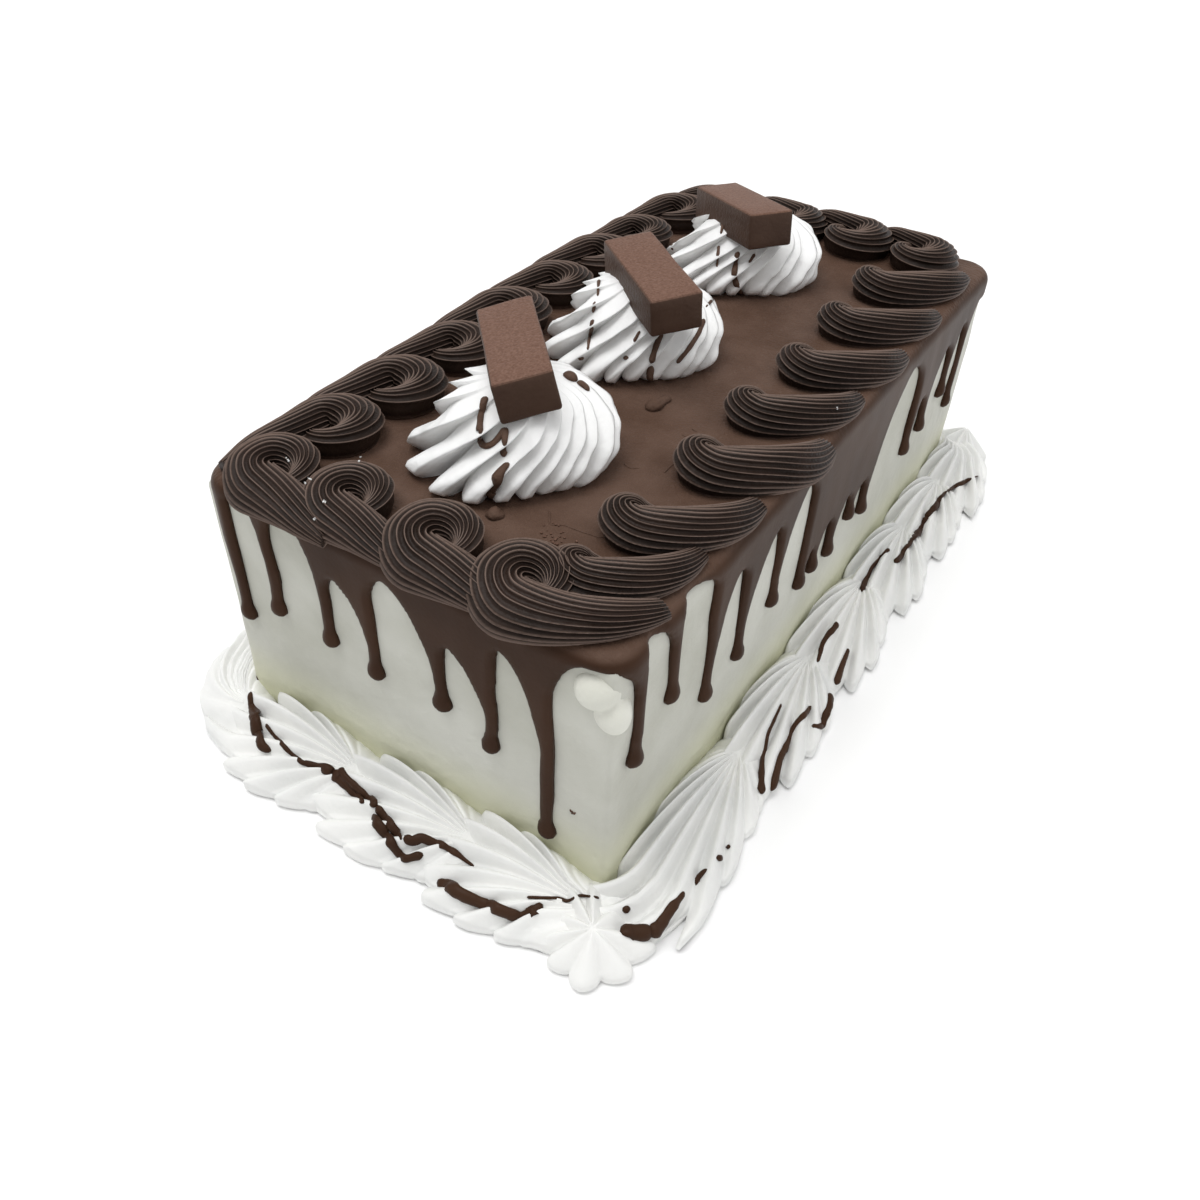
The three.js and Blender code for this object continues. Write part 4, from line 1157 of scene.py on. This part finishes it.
# Frosting smear: a dab that the knife left on the near right corner, seen in the bare window there.
# Two balls are scaled, laid on the wall and melted together.
# Place round the loaf and height of each ball, and its half sizes along the wall, out of it and up.
SMEAR_LOBES = [(125.5, 83.5, (6, 6, 5.6)), (129.6, 76, (4.8, 7, 6))]
SMEAR_SUNK = 1.2  # how far behind the wall their middles lie
SMEAR_MESH = 0.5
dab = Finish("frosting_dab", (0.66, 0.66, 0.59), (0.76, 0.76, 0.69), 60, 0.5, 0.25, 260, 0.0006)
bpy.ops.object.select_all(action="DESELECT")
lobes = []
for run, z, sizes in SMEAR_LOBES:
    bpy.ops.mesh.primitive_uv_sphere_add(segments=32, ring_count=20, radius=1)
    lobe = bpy.context.object
    inner = Vector(at_wall(run, -SMEAR_SUNK, z))
    outward = (Vector(at_wall(run, 1, z)) - inner).normalized()
    along = Vector((-outward.y, outward.x, 0))
    for corner in lobe.data.vertices:
        spot = corner.co.copy()
        place = inner + along * spot.x * sizes[0] + outward * spot.y * sizes[1]
        corner.co = (place + Vector((0, 0, spot.z * sizes[2]))) * MM
    lobes.append(lobe)
for lobe in lobes:
    lobe.select_set(True)
bpy.context.view_layer.objects.active = lobes[0]
bpy.ops.object.join()
smear = bpy.context.object
smear.name = "frosting_smear"
smear.data.name = "frosting_smear"
remesh = smear.modifiers.new("melted", "REMESH")
remesh.mode = "VOXEL"
remesh.voxel_size = SMEAR_MESH * MM
bpy.ops.object.modifier_apply(modifier=remesh.name)
soften = smear.modifiers.new("soften", "SMOOTH")
soften.iterations = 12
bpy.ops.object.modifier_apply(modifier=soften.name)
bpy.ops.object.shade_smooth()
smear.data.materials.append(dab.material)
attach(smear, "root")
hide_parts("cake_loaf")

# Crumbs: bits of chocolate on the top and a few on the front wall, and flecks of cream caught in the
# piping. A small rough ball is copied to each place marked in the photo.
CHOCOLATE_CRUMBS = [
    (548, 530, 14, 22), (560, 538, 10, 14), (573, 545, 6, 8), (842, 410, 5, 8), (690, 452, 4, 10),
    (573, 812, 7, 5),
]
CREAM_CRUMBS = [
    (287, 459, 3, 5), (307, 481, 6, 8), (324, 500, 5, 6), (316, 518, 2, 3), (360, 459, 3, 5),
    (837, 408, 2, 2),
]
CHOCOLATE_CRUMB_SIZES = (0.2, 0.5)
CREAM_CRUMB_SIZES = (0.18, 0.4)


def crumbs(name, pieces, groups, sizes, material, nodes):
    """Crumbs round each place: its two photo coordinates, how many and how far they scatter."""
    surface = surface_of(pieces)
    bpy.ops.mesh.primitive_ico_sphere_add(subdivisions=1, radius=1)
    ball = bpy.context.object
    corners = [corner.co.copy() for corner in ball.data.vertices]
    ball_faces = [tuple(face.vertices) for face in ball.data.polygons]
    bpy.data.objects.remove(ball)
    points = []
    faces = []
    count = 0
    for px, py, many, spread in groups:
        for _ in range(many):
            count += 1
            away = spread * (scatter(count * 3.1) - 0.5) * (many > 1)
            aside = spread * (scatter(count * 5.7) - 0.5) * (many > 1)
            hit, normal, _, _ = surface.ray_cast(EYE, sight(px + away, py + aside))
            if not hit:
                continue
            size = mix(*sizes, scatter(count * 7.3))
            faces += [[len(points) + index for index in face] for face in ball_faces]
            for corner in corners:
                rough = size * (1 + 0.4 * noise.noise(corner * 2 + Vector((count, 0, 0))))
                points.append(hit / MM + corner * rough + normal * size * 0.3)
    piece = piece_of(name, points, faces, material, nodes[0])
    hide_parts(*nodes)


scrolls = [bpy.data.objects[f"scroll_{number:02d}"] for number in range(1, 24)]
scroll_nodes = [f"piped_scroll_{number:02d}" for number in (1, 2, 6, 7, 8)]
crumbs(
    "chocolate_crumbs", [*top_sheet, loaf], CHOCOLATE_CRUMBS, CHOCOLATE_CRUMB_SIZES,
    chocolate.material, ["chocolate_glaze", "cake_loaf"],
)
crumbs(
    "cream_crumbs", [*top_sheet, *scrolls], CREAM_CRUMBS, CREAM_CRUMB_SIZES,
    cream.material, scroll_nodes,
)

# Camera, light and floor of the studio.
camera_data = bpy.data.cameras.new("photo_camera")
camera_data.sensor_width = SENSOR
camera_data.lens = LENS
camera_data.shift_x = SHIFT[0]
camera_data.shift_y = SHIFT[1]
camera_data.clip_start = 0.01
camera = bpy.data.objects.new("photo_camera", camera_data)
camera.matrix_world = Matrix(
    [[RIGHT[i], UPWARD[i], BACKWARD[i], EYE[i]] for i in range(3)] + [[0, 0, 0, 1]]
)
bpy.context.scene.collection.objects.link(camera)
bpy.context.scene.camera = camera
bpy.context.scene.view_settings.view_transform = "Standard"

# The room is darker on the side that the near corner of the cake faces.
world = bpy.data.worlds.new("studio")
bpy.context.scene.world = world
world.use_nodes = True
sky = world.node_tree
sky.nodes["Background"].inputs["Color"].default_value = (1, 1, 1, 1)
place = sky.nodes.new("ShaderNodeTexCoord")
toward = sky.nodes.new("ShaderNodeVectorMath")
toward.operation = "DOT_PRODUCT"
toward.inputs[1].default_value = (0.54, -0.84, 0)
shade = smooth_climb(sky.nodes, -0.1, 0.9, 0.68, 0.36)
sky.links.new(place.outputs["Generated"], toward.inputs[0])
sky.links.new(toward.outputs["Value"], shade.inputs["Value"])
sky.links.new(shade.outputs["Result"], sky.nodes["Background"].inputs["Strength"])
for name, way, strength, spread in [
    ("window_light", (0.2, 0.12, -1.0), 1.65, 40),
    ("side_light", (-0.6, 0.2, -1.0), 0.6, 70),
]:
    light_data = bpy.data.lights.new(name, "SUN")
    light_data.energy = strength
    light_data.angle = math.radians(spread)
    light = bpy.data.objects.new(name, light_data)
    light.rotation_euler = Vector(way).to_track_quat("-Z", "Y").to_euler()
    bpy.context.scene.collection.objects.link(light)

bpy.ops.object.select_all(action="DESELECT")
bpy.ops.mesh.primitive_plane_add(size=12, location=(0, 0, -0.0005))
floor = bpy.context.object
floor.name = "studio_floor"
pale = bpy.data.materials.new("pale_floor")
pale.use_nodes = True
pale.node_tree.nodes["Principled BSDF"].inputs["Base Color"].default_value = (0.94, 0.94, 0.94, 1)
pale.node_tree.nodes["Principled BSDF"].inputs["Roughness"].default_value = 0.7
floor.data.materials.append(pale)
